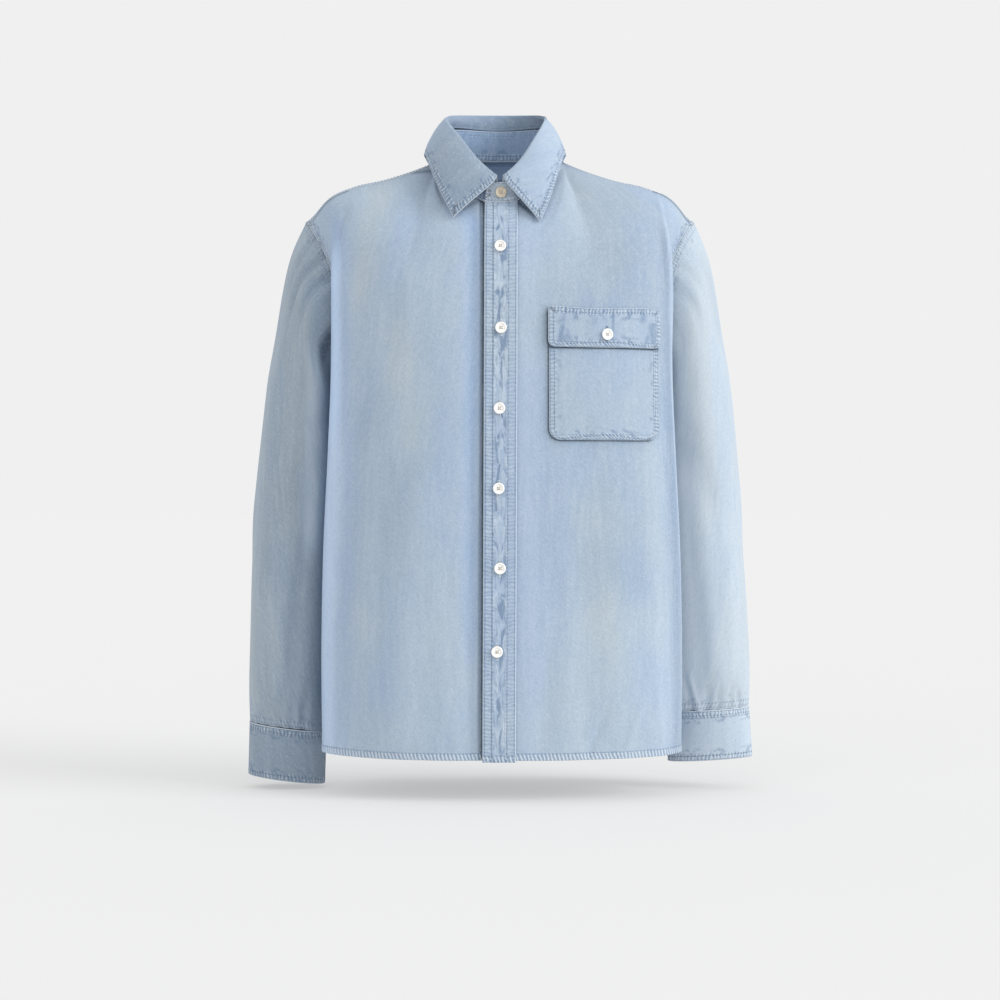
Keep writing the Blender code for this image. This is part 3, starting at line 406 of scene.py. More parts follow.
def ease(t):
    t = np.clip(t, 0.0, 1.0)
    return t * t * (3 - 2 * t)


def leaning(slope, length):
    """Steps of a length that lead back and up at a slope."""
    return np.stack((np.zeros(len(slope)), length * np.cos(slope), length * np.sin(slope)), axis=1)


def both_sides(stations, points):
    """Half a section with its mirror image, from one side seam to the other."""
    mirrored = points[:0:-1] * (-1.0, 1.0, 1.0)
    return np.concatenate((-stations[:0:-1], stations)), np.concatenate((mirrored, points))


def unit(vectors):
    return vectors / (np.linalg.norm(vectors, axis=-1, keepdims=True) + 1e-12)


def normals(grid, wrap=False):
    """Unit normals of a grid of points, across its columns by up its rows."""
    if wrap:
        grid = np.concatenate((grid[:, -1:], grid, grid[:, :1]), axis=1)
    result = unit(np.cross(np.gradient(grid, axis=1), np.gradient(grid, axis=0)))
    return result[:, 1:-1] if wrap else result


def draw_in(grid, sides, gap=SEAM_GAP):
    """Pull the named edges of a grid back from their seam lines by half the gap."""
    edges = {"low": (grid[0], grid[1]), "high": (grid[-1], grid[-2]),
             "first": (grid[:, 0], grid[:, 1]), "last": (grid[:, -1], grid[:, -2])}
    for side in sides:
        edge, inner = edges[side]
        way = inner - edge
        edge += way * (gap / 2 / np.linalg.norm(way, axis=1, keepdims=True))
    return grid


def fold_heights(across, up, folds, turn=None):
    """What a table of folds adds at each place: how far out it moves, or how strong it is."""
    total = np.zeros(np.broadcast(across, up).shape)
    for a0, v0, a1, v1, width, height in folds:
        share = np.clip((up - v0) / (v1 - v0), 0.0, 1.0)
        off = across - (a0 + (a1 - a0) * share)
        if turn:
            off = (off + turn / 2) % turn - turn / 2
        fade = min(FOLD_FADE, 0.6 * (v1 - v0))
        shown = ease((up - v0) / fade + 0.5) * ease((v1 - up) / fade + 0.5)
        total += height * shown * np.exp(-(off / width) ** 2)
    return total


def panel_folds(stations, up, folds, turn=None):
    """The same for a panel's columns and rows."""
    return fold_heights(stations[None, :], up[:, None], folds, turn)


# ---------------- seam lines and panels
def neck_line(angle):
    a = np.radians(np.asarray(angle, dtype=float))
    fall = ((1 + np.cos(a)) / 2) ** NECK_DROP
    return np.stack((NECK_HALF_WIDTH * np.sin(a),
                     NECK_MIDDLE_Y - NECK_HALF_DEPTH * np.cos(a),
                     NECK_BACK_Z - (NECK_BACK_Z - NECK_FRONT_Z) * fall), axis=-1)


def armhole_line(angle):
    a = np.radians(np.asarray(angle, dtype=float))
    reach = ((1 + np.cos(a)) / 2) ** ARMHOLE_LEAN
    return np.stack((ARMHOLE_X + ARMHOLE_REACH * reach,
                     ARMHOLE_Y - ARMHOLE_HALF_DEPTH * np.sin(a),
                     ARMHOLE_Z + ARMHOLE_HALF_HEIGHT * np.cos(a)), axis=-1)


def shoulder_line(share):
    ends = neck_line([YOKE_NECK_ANGLE]), armhole_line([FRONT_SEAM_ANGLE])
    points = np.concatenate((ends[0], SHOULDER_SEAM, ends[1]))
    keys = (points[:, 0] - points[0, 0]) / (points[-1, 0] - points[0, 0])
    return smooth_curve(keys, points, 1 - (1 - np.asarray(share)) ** SEAM_CROWDING)


def side_line(up, top_angle):
    """Side seam up to the underarm, then the armhole up to the angle top_angle."""
    up = np.asarray(up, dtype=float)
    seam = np.stack((BODY_LEVELS[:, 2] * SIDE_SEAM_WIDTH, BODY_LEVELS[:, 3] * SIDE_SEAM_DEPTH,
                     BODY_LEVELS[:, 1]), axis=1)
    seam[-1] = armhole_line(180.0)
    lower = smooth_curve(BODY_LEVELS[:, 0], seam, up)
    share = np.clip((up - UNDERARM) / (1 - UNDERARM), 0.0, 1.0)
    upper = armhole_line(180.0 + (top_angle - 180.0) * share)
    return np.where((up <= UNDERARM)[:, None], lower, upper)


def section(row, profile, depth_sign, back_station, edge):
    """Half a section: the profile's points, then the return to the side seam."""
    height, half_width, depth = row
    points = np.stack((profile[:, 1] * half_width, depth_sign * depth * profile[:, 2],
                       np.full(len(profile), height)), axis=1)
    middle = points[-1] * (1 - RETURN_MIDDLE) + edge * RETURN_MIDDLE
    middle[0] -= RETURN_HOLLOW
    stations = np.concatenate((profile[:, 0], (back_station, 1.0)))
    return stations, np.concatenate((points, middle[None], edge[None]))


def section_rows(rows, profile, depth_sign, back_station, top_angle, stations):
    """The section at each level, read at the stations."""
    lines = []
    for up, height, half_width, depth in rows:
        edge = side_line([up], top_angle)[0]
        keys, half = section((height, half_width, depth), profile, depth_sign, back_station, edge)
        keys, full = both_sides(keys, half)
        inner = np.abs(keys) < back_station
        full[inner, 0] += SIDE_SHIFT * np.abs(full[inner, 0]) / half_width
        line = smooth_curve(keys, full, stations)
        if up == 0.0:
            line[:, 2] -= HEM_DIP * (1 - stations ** 2)
        lines.append(line)
    return np.array(lines)


def meet_edges(raw, stations, up, edge, start):
    """Move the outer columns so that the last one lies on the seam line."""
    grid = raw(stations, up)
    ends = raw(np.array((-1.0, 1.0)), up)
    weight = np.clip((np.abs(stations) - start) / (1 - start), 0.0, 1.0) ** SEAM_EASE
    for sign, end in ((-1.0, ends[:, 0]), (1.0, ends[:, 1])):
        miss = edge * (sign, 1.0, 1.0) - end
        grid += (weight * (stations * sign > 0))[None, :, None] * miss[:, None, :]
    return grid


def top_line(stations, neck_station, angle):
    """Neck edge at the angles up to a station, and the shoulder seam beyond it."""
    u = np.abs(stations)
    share = np.clip((u - neck_station) / (1 - neck_station), 0.0, 1.0)
    points = np.where((u <= neck_station)[:, None], neck_line(angle), shoulder_line(share))
    points[:, 0] *= np.where(stations < 0, -1.0, 1.0)
    return points


def front_top(stations):
    """Top edge of the front, and the way that the cloth leaves it."""
    u = np.abs(stations)
    angle = YOKE_NECK_ANGLE * np.clip(u / FRONT_NECK_STATION, 0.0, 1.0)
    points = top_line(stations, FRONT_NECK_STATION, angle)
    turned = ease(u / FRONT_NECK_STATION)
    rise = FRONT_NECK_SLOPE + (SEAM_SLOPE - FRONT_NECK_SLOPE) * turned
    pull = FRONT_NECK_PULL + (SEAM_PULL - FRONT_NECK_PULL) * turned
    return points, leaning(rise, pull)


def front_raw(stations, up):
    table = np.concatenate((BODY_LEVELS[:, :4], [FRONT_CHEST]))
    lines = section_rows(table, FRONT_PROFILE, -1.0, FRONT_RETURN, FRONT_SEAM_ANGLE, stations)
    top, top_pull = front_top(stations)
    lift = lines[-1] - lines[-2]
    lift *= FRONT_CHEST_PULL / np.linalg.norm(lift, axis=1, keepdims=True)
    upper = [hermite(lines[-1], lift, top, top_pull, t) for t in CHEST_STEPS]
    keys = np.concatenate((table[:, 0], [CHEST + (1 - CHEST) * t for t in CHEST_STEPS]))
    return smooth_curve(keys, np.concatenate((lines, upper)), up)


def front_points(stations, up, creased=True):
    """Outer face of the whole front, and how far its folds and creases stand out."""
    edge = side_line(up, FRONT_SEAM_ANGLE)
    grid = meet_edges(front_raw, stations, up, edge, FRONT_PROFILE[-1, 0])
    heights = panel_folds(stations, up, FRONT_FOLDS)
    if creased:
        heights = heights + panel_folds(stations, up, FRONT_CREASES)
        grid += normals(grid) * heights[:, :, None]
    return grid, heights


def back_raw(stations, up):
    table = np.concatenate((BODY_LEVELS[:, (0, 1, 2, 4)], [BACK_CHEST, BACK_TOP]))
    lines = section_rows(table, BACK_PROFILE, 1.0, BACK_RETURN, BACK_SEAM_ANGLE + 360.0, stations)
    return smooth_curve(table[:, 0], lines, up)


def back_points(stations, up, creased=True):
    """Outer face of the back, from the hem to the yoke seam."""
    edge = side_line(up, BACK_SEAM_ANGLE + 360.0)
    grid = meet_edges(back_raw, stations, up, edge, BACK_TURN)
    heights = panel_folds(stations, up, BACK_FOLDS + BACK_CREASES)
    if creased:
        grid -= normals(grid) * heights[:, :, None]
    return grid, heights


def yoke_raw(stations, down):
    u = np.abs(stations)
    bottom = back_points(stations, BACK_LAST_LEVELS, creased=False)[0]
    angle = 180.0 - (180.0 - YOKE_NECK_ANGLE) * np.clip(u / YOKE_NECK_STATION, 0.0, 1.0)
    top = top_line(stations, YOKE_NECK_STATION, angle)
    turned = ease((angle - YOKE_NECK_ANGLE) / YOKE_TURN)
    slope = np.where(stations < 0, SEAM_SLOPE, LEFT_SEAM_SLOPE)
    rise = slope + (BACK_NECK_SLOPE - slope) * turned
    pull = SEAM_PULL + (BACK_NECK_PULL - SEAM_PULL) * turned
    start = leaning(rise, pull)
    fall = bottom[0] - bottom[1]
    fall *= YOKE_FALL_PULL / np.linalg.norm(fall, axis=1, keepdims=True)
    return np.array([hermite(top, start, bottom[1], fall, t) for t in down])


def yoke_points(stations, down):
    edge = armhole_line(FRONT_SEAM_ANGLE + (BACK_SEAM_ANGLE - FRONT_SEAM_ANGLE) * down)
    grid = meet_edges(yoke_raw, stations, down, edge, YOKE_EDGE_TURN)
    heights = panel_folds(stations, down, YOKE_CREASES)
    grid += normals(grid) * heights[:, :, None]
    return grid, heights


def ring(angles, x, y, z, half_width, half_depth, lift, sign=1.0, out=0.0):
    """A tilted oval round an arm; degrees run from the outer side by the front to the inner."""
    a = np.radians(angles)
    return np.stack((sign * (x + (half_width + out) * np.cos(a)),
                     y - (half_depth + out) * np.sin(a), z + lift * np.cos(a)), axis=1)


def sleeve_points(angles, along, side, rings, sign):
    """Outer face of a sleeve, from the armhole (0) to the cuff (1)."""
    lines = [armhole_line(angles)] + [ring(angles, *row[1:]) for row in rings]
    keys = np.concatenate(([0.0], rings[:, 0]))
    grid = smooth_curve(keys, np.array(lines), along)
    folds = SLEEVE_FOLDS + SLEEVE_CREASES[side]
    heights = panel_folds(angles % 360.0, along, folds, turn=360.0)
    grid += normals(grid, wrap=True) * heights[:, :, None]
    grid[:, :, 0] *= sign
    return grid, heights


def cuff_points(angles, rows, rings, edge, sign):
    """Outer face of a cuff, from its lower edge (0) to its seam (1)."""
    lap = (DOUBLED + LAID_GAP) * ease((angles - CUFF_START - 360.0) / CUFF_LAP + 1.1)
    low = ring(angles, *edge, sign, out=lap)
    high = ring(angles, *rings[-1, 1:], sign, out=lap + LAID_GAP)
    rows = rows[:, None, None]
    return low * (1 - rows) + high * rows


def neck_outward(turn):
    """Level directions away from the neck's middle."""
    a = np.radians(turn)
    return np.stack((-np.sin(a), -np.cos(a), np.zeros(len(a))), axis=1)


def lap_lift(turn):
    """How much further out the stand's upper end lies."""
    return ease((turn - STAND_LAP) / LAP_EASE) * (DOUBLED + LAID_GAP)


def stand_top(angle):
    a = np.radians(angle)
    fall = ((1 + np.cos(a)) / 2) ** STAND_TOP_DROP
    return np.stack((STAND_TOP_HALF_WIDTH * np.sin(a),
                     NECK_MIDDLE_Y + STAND_TOP_SHIFT - STAND_TOP_HALF_DEPTH * np.cos(a),
                     STAND_TOP_BACK_Z - (STAND_TOP_BACK_Z - STAND_TOP_FRONT_Z) * fall), axis=-1)


def stand_points(turn, rows):
    """Outer face of the stand; turn runs from the under end by the back to the upper end."""
    low = neck_line(turn)
    high = stand_top(turn)
    for line in (low, high):
        line[:, 0] *= -1.0
    over = lap_lift(turn)[:, None] * neck_outward(turn)
    low += over
    high += over
    end = np.clip((turn - STAND_UPPER_END) / STAND_END_RADIUS + 1.0, 0.0, 1.0)
    high[:, 2] -= STAND_END_DROP * (1 - np.sqrt(1 - end ** 2))
    rows = rows[:, None, None]
    return low * (1 - rows) + high * rows


def leaf_points(turn, across):
    """Face of the leaf: up from the stand, over the fold and down to its outer edge."""
    angle = np.minimum(turn, 360.0 - turn)
    side = np.where(turn < 180.0, -1.0, 1.0)
    around = np.concatenate((COLLAR, COLLAR[-2:-1]))
    around[-1, 0] = 360.0 - around[-1, 0]
    around[-1, 2] *= -1.0
    fold_z, edge_x, edge_y, edge_z = smooth_curve(around[:, 0], around[:, 1:], angle).T
    front = 1 - ease(angle / LEAF_FRONT)
    left_drop = front * LEFT_POINT_DROP * (side > 0)
    edge = np.stack((side * (edge_x - 0.5 * left_drop) + LEAF_LEAN * (1 - 0.6 * front), edge_y,
                     edge_z - left_drop), axis=1)
    outward = neck_outward(turn)
    up = np.array((0.0, 0.0, 1.0))
    start = stand_top(angle)
    start[:, 0] *= side
    rise = up * (fold_z - start[:, 2])[:, None]
    lean = np.array((LEAF_LEAN, 0.0, 0.0)) * ease(angle / 90.0)[:, None]
    sideways = np.sin(np.radians(angle)) ** 2
    narrow = np.zeros_like(edge)
    narrow[:, 0] = -side * LEAF_NARROW * sideways
    clear = LAID_GAP * (1 + front) + LEAF_CLEAR * sideways
    inner = start + outward * (lap_lift(turn) - DOUBLED)[:, None] + up * clear[:, None]
    lines = [inner + outward * ROLL * out + (rise + narrow) * height + lean * leaning_share
             for _, out, height, leaning_share in LEAF_RISE]
    top = lines[-1]
    shoulder = top + outward * ROLL * 1.3 - up * ROLL * 0.9 + (edge - top) * 0.06
    middle = (shoulder + edge) / 2 + (edge - shoulder) * 0.05 + outward * LEAF_WAIST
    keys = [row[0] for row in LEAF_RISE] + list(LEAF_FALL)
    return smooth_curve(keys, np.array(lines + [shoulder, middle, edge]), across)


def leaf_face(turn, across):
    """The leaf in the form that even_keys reads."""
    return leaf_points(turn, across), None


# ---------------- places on the fronts
LEVEL_STATION = 0.2        # the column of the front on which a height is read as a level


class FrontChart:
    """The front as a fine chart, read at a place x and a level of its height."""

    def __init__(self):
        self.levels = np.linspace(0.0, 1.0, 401)
        self.stations = np.linspace(-0.76, 0.76, 305)
        self.points, _ = front_points(self.stations, self.levels)
        self.normals = normals(self.points)
        plain, _ = front_points(self.stations, self.levels, creased=False)
        self.plain_x = plain[:, :, 0]
        self.plain_z = plain[:, :, 2]

    def level_of(self, z, station=LEVEL_STATION):
        column = np.interp(station, self.stations, np.arange(len(self.stations)))
        return np.interp(z, self.plain_z[:, int(round(column))], self.levels)

    def read(self, x, level):
        """Points and normals at the places x on each level; both are arrays of one shape."""
        x = np.asarray(x, dtype=float)
        level = np.broadcast_to(np.asarray(level, dtype=float), x.shape)
        row = np.clip(level * (len(self.levels) - 1), 0, len(self.levels) - 1.001)
        low = row.astype(int)
        share = (row - low)[..., None]
        points = np.zeros(x.shape + (3,))
        ways = np.zeros(x.shape + (3,))
        for place in np.ndindex(x.shape):
            i = low[place]
            line = self.plain_x[i] * (1 - share[place]) + self.plain_x[i + 1] * share[place]
            column = np.interp(x[place], line, np.arange(len(line)))
            j = min(int(column), len(line) - 2)
            t = column - j
            for source, target in ((self.points, points), (self.normals, ways)):
                near = source[i:i + 2, j:j + 2]
                across = near[:, 0] * (1 - t) + near[:, 1] * t
                target[place] = across[0] * (1 - share[place]) + across[1] * share[place]
        return points, unit(ways)

    def at(self, x, z, lift=0.0, station=LEVEL_STATION):
        """The same for places given by x and the height of their level."""
        points, ways = self.read(np.asarray(x, dtype=float), self.level_of(z, station))
        return points + ways * np.asarray(lift)[..., None], ways


FRONT = FrontChart()


# ---------------- shader maths
class Value:
    """A number socket; arithmetic on it adds Math nodes to its finish."""

    def __init__(self, finish, socket):
        self.finish = finish
        self.socket = socket

    def math(self, operation, *others, clamp=False):
        settings = {"operation": operation, "use_clamp": clamp}
        sockets = dict(enumerate((self,) + others))
        return self.finish.node("ShaderNodeMath", settings, sockets)

    def __add__(self, other):
        return self.math("ADD", other)

    __radd__ = __add__

    def __mul__(self, other):
        return self.math("MULTIPLY", other)

    __rmul__ = __mul__

    def __sub__(self, other):
        return self.math("SUBTRACT", other)

    def __rsub__(self, other):
        return self * -1.0 + other

    def __pow__(self, other):
        return self.math("POWER", other)

    def clamped(self):
        return self.math("ADD", 0.0, clamp=True)

    def sine(self):
        return self.math("SINE")

    def stretch(self, low, high, to_low=0.0, to_high=1.0):
        """Soft step from to_low at low to to_high at high."""
        settings = {"interpolation_type": "SMOOTHSTEP"}
        sockets = {"Value": self, "From Min": low, "From Max": high,
                   "To Min": to_low, "To Max": to_high}
        return self.finish.node("ShaderNodeMapRange", settings, sockets)


class Finish:
    """A material that is written as expressions."""

    def __init__(self, name):
        self.material = bpy.data.materials.new(name)
        self.material.use_nodes = True
        self.tree = self.material.node_tree
        self.tree.nodes.clear()

    def node(self, kind, settings=None, sockets=None, output=0):
        """Add a node: its type, its settings, then the values or links of its sockets."""
        node = self.tree.nodes.new(kind)
        for key, value in (settings or {}).items():
            setattr(node, key, value)
        for key, value in (sockets or {}).items():
            socket = node.inputs[key]
            if isinstance(value, Value):
                self.tree.links.new(value.socket, socket)
            elif isinstance(value, tuple) and len(value) == 3 and socket.type == "RGBA":
                socket.default_value = (*value, 1.0)
            else:
                socket.default_value = value
        return Value(self, node.outputs[output])

    def mix(self, factor, start, end):
        """Colour between start and end; the sockets of a colour Mix are 6, 7 and output 2."""
        settings = {"data_type": "RGBA", "clamp_factor": True}
        return self.node("ShaderNodeMix", settings, {0: factor, 6: start, 7: end}, output=2)

    def attribute(self, name):
        return self.node("ShaderNodeAttribute", {"attribute_name": name}, output=2)

    def vector(self, x, y, z=0.0):
        return self.node("ShaderNodeCombineXYZ", None, {"X": x, "Y": y, "Z": z})

    def noise(self, vector, scale, detail=2.0, roughness=0.5, distortion=0.0):
        return self.node("ShaderNodeTexNoise", {"noise_dimensions": "3D"},
                         {"Vector": vector, "Scale": scale, "Detail": detail,
                          "Roughness": roughness, "Distortion": distortion})

    def surface(self, colour, roughness, height=None, **constants):
        """Principled surface, with a bump from a height in metres."""
        sockets = {"Base Color": colour, "Roughness": roughness}
        for name, value in constants.items():
            sockets[name.replace("_", " ")] = value
        if height is not None:
            sockets["Normal"] = self.node("ShaderNodeBump", None,
                                          {"Strength": 1.0, "Distance": 1.0, "Height": height})
        shader = self.node("ShaderNodeBsdfPrincipled", None, sockets)
        output = self.tree.nodes.new("ShaderNodeOutputMaterial")
        self.tree.links.new(shader.socket, output.inputs["Surface"])
        return self.material


def uv_axes(finish):
    """Across and up the cut, in metres."""
    node = finish.tree.nodes.new("ShaderNodeUVMap")
    node.uv_map = "cut"
    split = finish.tree.nodes.new("ShaderNodeSeparateXYZ")
    finish.tree.links.new(node.outputs["UV"], split.inputs["Vector"])
    return Value(finish, split.outputs["X"]), Value(finish, split.outputs["Y"])


def denim(name, washed, blue, pale, deep, sky, grey_and_shade, rows, crumple=0.0):
    """Washed denim: twill, slubs, uneven fading, stitched seams with their puckers, and painted
    light and painted shade from the tone and fade marks.

    rows are the distances of the stitch rows from a sewn edge.
    """
    f = Finish(name)
    u, v = uv_axes(f)
    edge, run, hem = f.attribute("edge"), f.attribute("run"), f.attribute("hem")
    relief, tone, fade = f.attribute("relief"), f.attribute("tone"), f.attribute("fade")
    seam = f.attribute("seam")

    # fading, in soft patches that run down the cloth, with painted light and painted shade from
    # the tone and fade marks
    patches = f.noise(f.vector(u * 9.0, v * 4.0, 0.3), 1.0, 3.0, 0.55).stretch(0.34, 0.66)
    clouds = f.noise(f.vector(u * 26.0, v * 15.0, 4.1), 1.0, 3.0, 0.6)
    streaks = f.noise(f.vector(u * 190.0, v * 22.0, 1.7), 1.0, 3.0, 0.6)
    base = f.mix((patches * 0.26 + tone * 0.9 + clouds * 0.36 - 0.09).clamped(), washed, blue)
    # painted light in sky blue where tone is above 1
    base = f.mix((tone - 1.0).clamped() * 1.3, base, sky)
    # paler where fade is positive, partly wash and partly painted light; near white above 1 is
    # painted light
    base = f.mix(fade.clamped(), base, pale)
    base = f.mix((fade - 1.0).clamped(), base, tuple(1 - 0.55 * (1 - part) for part in pale))
    # painted shade where fade is negative, with a little greyer cloth; near black below -1 is
    # painted shadow
    base = f.mix((fade * -1.0).clamped(), base, grey_and_shade)
    base = f.mix((fade * -1.0 - 1.0).clamped(), base, tuple(0.22 * part for part in grey_and_shade))
    base = f.mix(streaks.stretch(0.45, 0.80) * 0.12, base, pale)
    base = f.mix(streaks.stretch(0.55, 0.20) * 0.08, base, deep)
    base = f.mix(relief.stretch(0.15, 1.2) * 0.24, base, pale)
    base = f.mix((relief * -1.0).stretch(0.2, 1.3) * 0.18, base, deep)

    # weave: twill lines, warp slubs, a fine grain and a coarser mottle
    twill = f.noise(f.vector((u + v) * 620.0, (v - u) * 130.0, 6.3), 1.0, 1.0, 0.5)
    slub = f.noise(f.vector(u * 1300.0, v * 240.0, 0.9), 1.0, 2.0, 0.6)
    grain = f.noise(f.vector(u * 760.0, v * 700.0, 2.2), 1.0, 2.0, 0.65)
    mottle = f.noise(f.vector(u * 330.0, v * 280.0, 3.4), 1.0, 2.0, 0.6)
    weave = (twill - 0.5) * 0.6 + (slub - 0.5) * 0.8 + (grain - 0.5) * 1.5 + (mottle - 0.5) * 0.9
    base = f.mix((weave * 0.9).clamped() * 0.56, base, pale)
    base = f.mix((weave * -0.9).clamped() * 0.42, base, deep)

    # seams: puckers across the stitch rows, a white worn rim and unfaded blue beside them
    wander = f.noise(f.vector(run * 95.0, edge * 70.0, 0.1), 1.0, 2.0, 0.55)
    tuft = f.noise(f.vector(run * 430.0, edge * 290.0, 8.2), 1.0, 3.0, 0.65)
    ripple = (run * (2 * pi / 0.0044) + wander * 12.0 + edge * 110.0).sine() * 0.5 + 0.5
    pucker = ripple * 0.40 + tuft * 0.60 + (wander - 0.5) * 0.5
    band = edge.stretch(0.0006, 0.0016) * edge.stretch(rows[1] + 0.001, rows[1] + 0.004, 1.0, 0.0)
    base = f.mix(pucker.stretch(0.52, 0.76) * band * seam * 0.50, base, pale)
    base = f.mix(pucker.stretch(0.50, 0.26) * band * seam * 0.50, base, deep)
    spots = f.noise(f.vector(run * 95.0, edge * 120.0, 5.1), 1.0, 2.0, 0.6).stretch(0.5, 0.64)
    beside = (edge.stretch(rows[1] + 0.0002, rows[1] + 0.002)
              * edge.stretch(rows[1] + 0.006, rows[1] + 0.012, 1.0, 0.0))
    base = f.mix(spots * beside * seam * 0.42, base, deep)
    rim = edge.stretch(0.0008, 0.0022, 1.0, 0.0) * fade.stretch(-1.1, -0.7)
    base = f.mix(rim * (tuft * 0.4 + 0.6) * seam ** 0.5 * 0.9, base, pale)
    dips = (run * (2 * pi / 0.0040)).sine().stretch(-0.3, 0.6)
    sunk = 0.0
    for row in rows:
        away = (edge - row).math("ABSOLUTE")
        groove = away.stretch(0.0002, 0.0010, 1.0, 0.0) * seam ** 0.5
        base = f.mix(groove * (dips * 0.34 + 0.14), base, deep)
        sunk = groove * (dips * 0.5 + 0.5) + sunk

    # hem: a twisted roll, so its puckers lean
    lean = (u * (2 * pi / 0.0044) + hem * 430.0 + wander * 5.0).sine() * 0.28 + 0.5
    twist = lean * 0.62 + tuft * 0.38
    roll = hem.stretch(0.0078, 0.0098, 1.0, 0.0)
    base = f.mix(twist.stretch(0.48, 0.66) * roll * 0.66, base, pale)
    base = f.mix(twist.stretch(0.48, 0.32) * roll * 0.45, base, deep)
    base = f.mix(hem.stretch(0.0, 0.0014, 1.0, 0.0) * 0.6, base, pale)
    above = (hem - HEM_BAND[0]).math("ABSOLUTE").stretch(0.0003, 0.0014, 1.0, 0.0)
    base = f.mix(above * 0.28, base, deep)

    height = (weave * 0.00012 + pucker * band * seam * 0.0009 + twist * roll * 0.0012
              + streaks * 0.00015 - sunk * 0.0004 + clouds * 0.0006)
    if crumple:
        channel = f.noise(f.vector(u * 150.0, v * 42.0, 7.7), 1.0, 2.0, 0.5, 1.0)
        middle = edge.stretch(rows[1] - 0.0010, rows[1] + 0.0015)
        slit = edge.stretch(0.0120, 0.0155) * middle
        base = f.mix(channel.stretch(0.50, 0.68) * middle * 0.36 * crumple, base, pale)
        shaded = middle * 0.2 + slit * 0.42
        base = f.mix(channel.stretch(0.49, 0.36) * shaded * crumple, base, deep)
        height = height + channel * middle * 0.0018 * crumple
    return f.surface(base, 0.88, height, Sheen_Weight=0.12, Sheen_Roughness=0.5,
                     Specular_IOR_Level=0.25)


def thread_finish(name, colour, shade):
    """Twisted thread: fine turns along each stitch, and stitches that differ a little."""
    f = Finish(name)
    place = f.node("ShaderNodeNewGeometry", output=0)
    turns = f.noise(place, 1900.0, 1.0)
    each = f.noise(place, 260.0, 1.0)
    colour = f.mix((turns * 0.5 + each * 0.5).stretch(0.4, 0.62), shade, colour)
    return f.surface(colour, 0.7, turns * 0.00008, Sheen_Weight=0.2)


def button_finish(name, cream, shade):
    """Cast resin: cloudy cream with faint swirls, polished."""
    f = Finish(name)
    place = f.node("ShaderNodeTexCoord", output=3)
    swirl = f.noise(place, 230.0, 3.0, 0.5, 1.5)
    fleck = f.noise(place, 900.0, 2.0)
    colour = f.mix(swirl.stretch(0.42, 0.66) * 0.6, cream, shade)
    colour = f.mix(fleck.stretch(0.62, 0.72) * 0.25, colour, shade)
    return f.surface(colour, fleck * 0.12 + 0.26, swirl * 0.00003, Coat_Weight=0.15,
                     Coat_Roughness=0.15, Specular_IOR_Level=0.45)


# ---------------- cloth pieces
def lengths(grid, axis):
    """Distance of each point along its row (axis 1) or column (axis 0)."""
    steps = np.linalg.norm(np.diff(grid, axis=axis), axis=2)
    pad = [(0, 0), (0, 0)]
    pad[axis] = (1, 0)
    return np.cumsum(np.pad(steps, pad), axis=axis)


def edge_distances(grid):
    """Distance of each point from each edge of its grid, along the cloth."""
    across, up = lengths(grid, 1), lengths(grid, 0)
    return {"first": across, "last": across[:, -1:] - across, "low": up, "high": up[-1:] - up}


def marks_of(grid, sewn, heights=0.0, tone=0.0, fade=0.0, hem=False):
    """What the finish reads at each point.

    edge is the distance to the nearest sewn edge, run the place along it and seam how much it
    puckers; sewn names the sewn edges, each with how much it puckers.  hem is the distance from
    the hem, relief the folds' heights, tone how much blue the wash has left, with painted light
    in sky blue above 1, and fade how pale the cloth is, partly its wash and partly painted
    light, or how dark where it is negative, mostly painted shade and painted shadow.
    """
    away = edge_distances(grid)
    along = {"first": away["low"], "last": away["low"],
             "low": away["first"], "high": away["first"]}
    far = np.full(grid.shape[:2], 1.0)
    edge, seam, run = far, np.zeros(grid.shape[:2]), away["first"]
    for side, strength in sewn.items():
        nearer = away[side] < edge
        edge = np.where(nearer, away[side], edge)
        run = np.where(nearer, along[side], run)
        seam = np.where(nearer, strength, seam)
    return {"edge": edge, "run": run, "seam": seam, "hem": away["low"] if hem else far,
            "relief": heights / FOLD_RELIEF, "tone": tone, "fade": fade}


def placed(name, data):
    """A new object in the scene."""
    item = bpy.data.objects.new(name, data)
    bpy.context.scene.collection.objects.link(item)
    return item


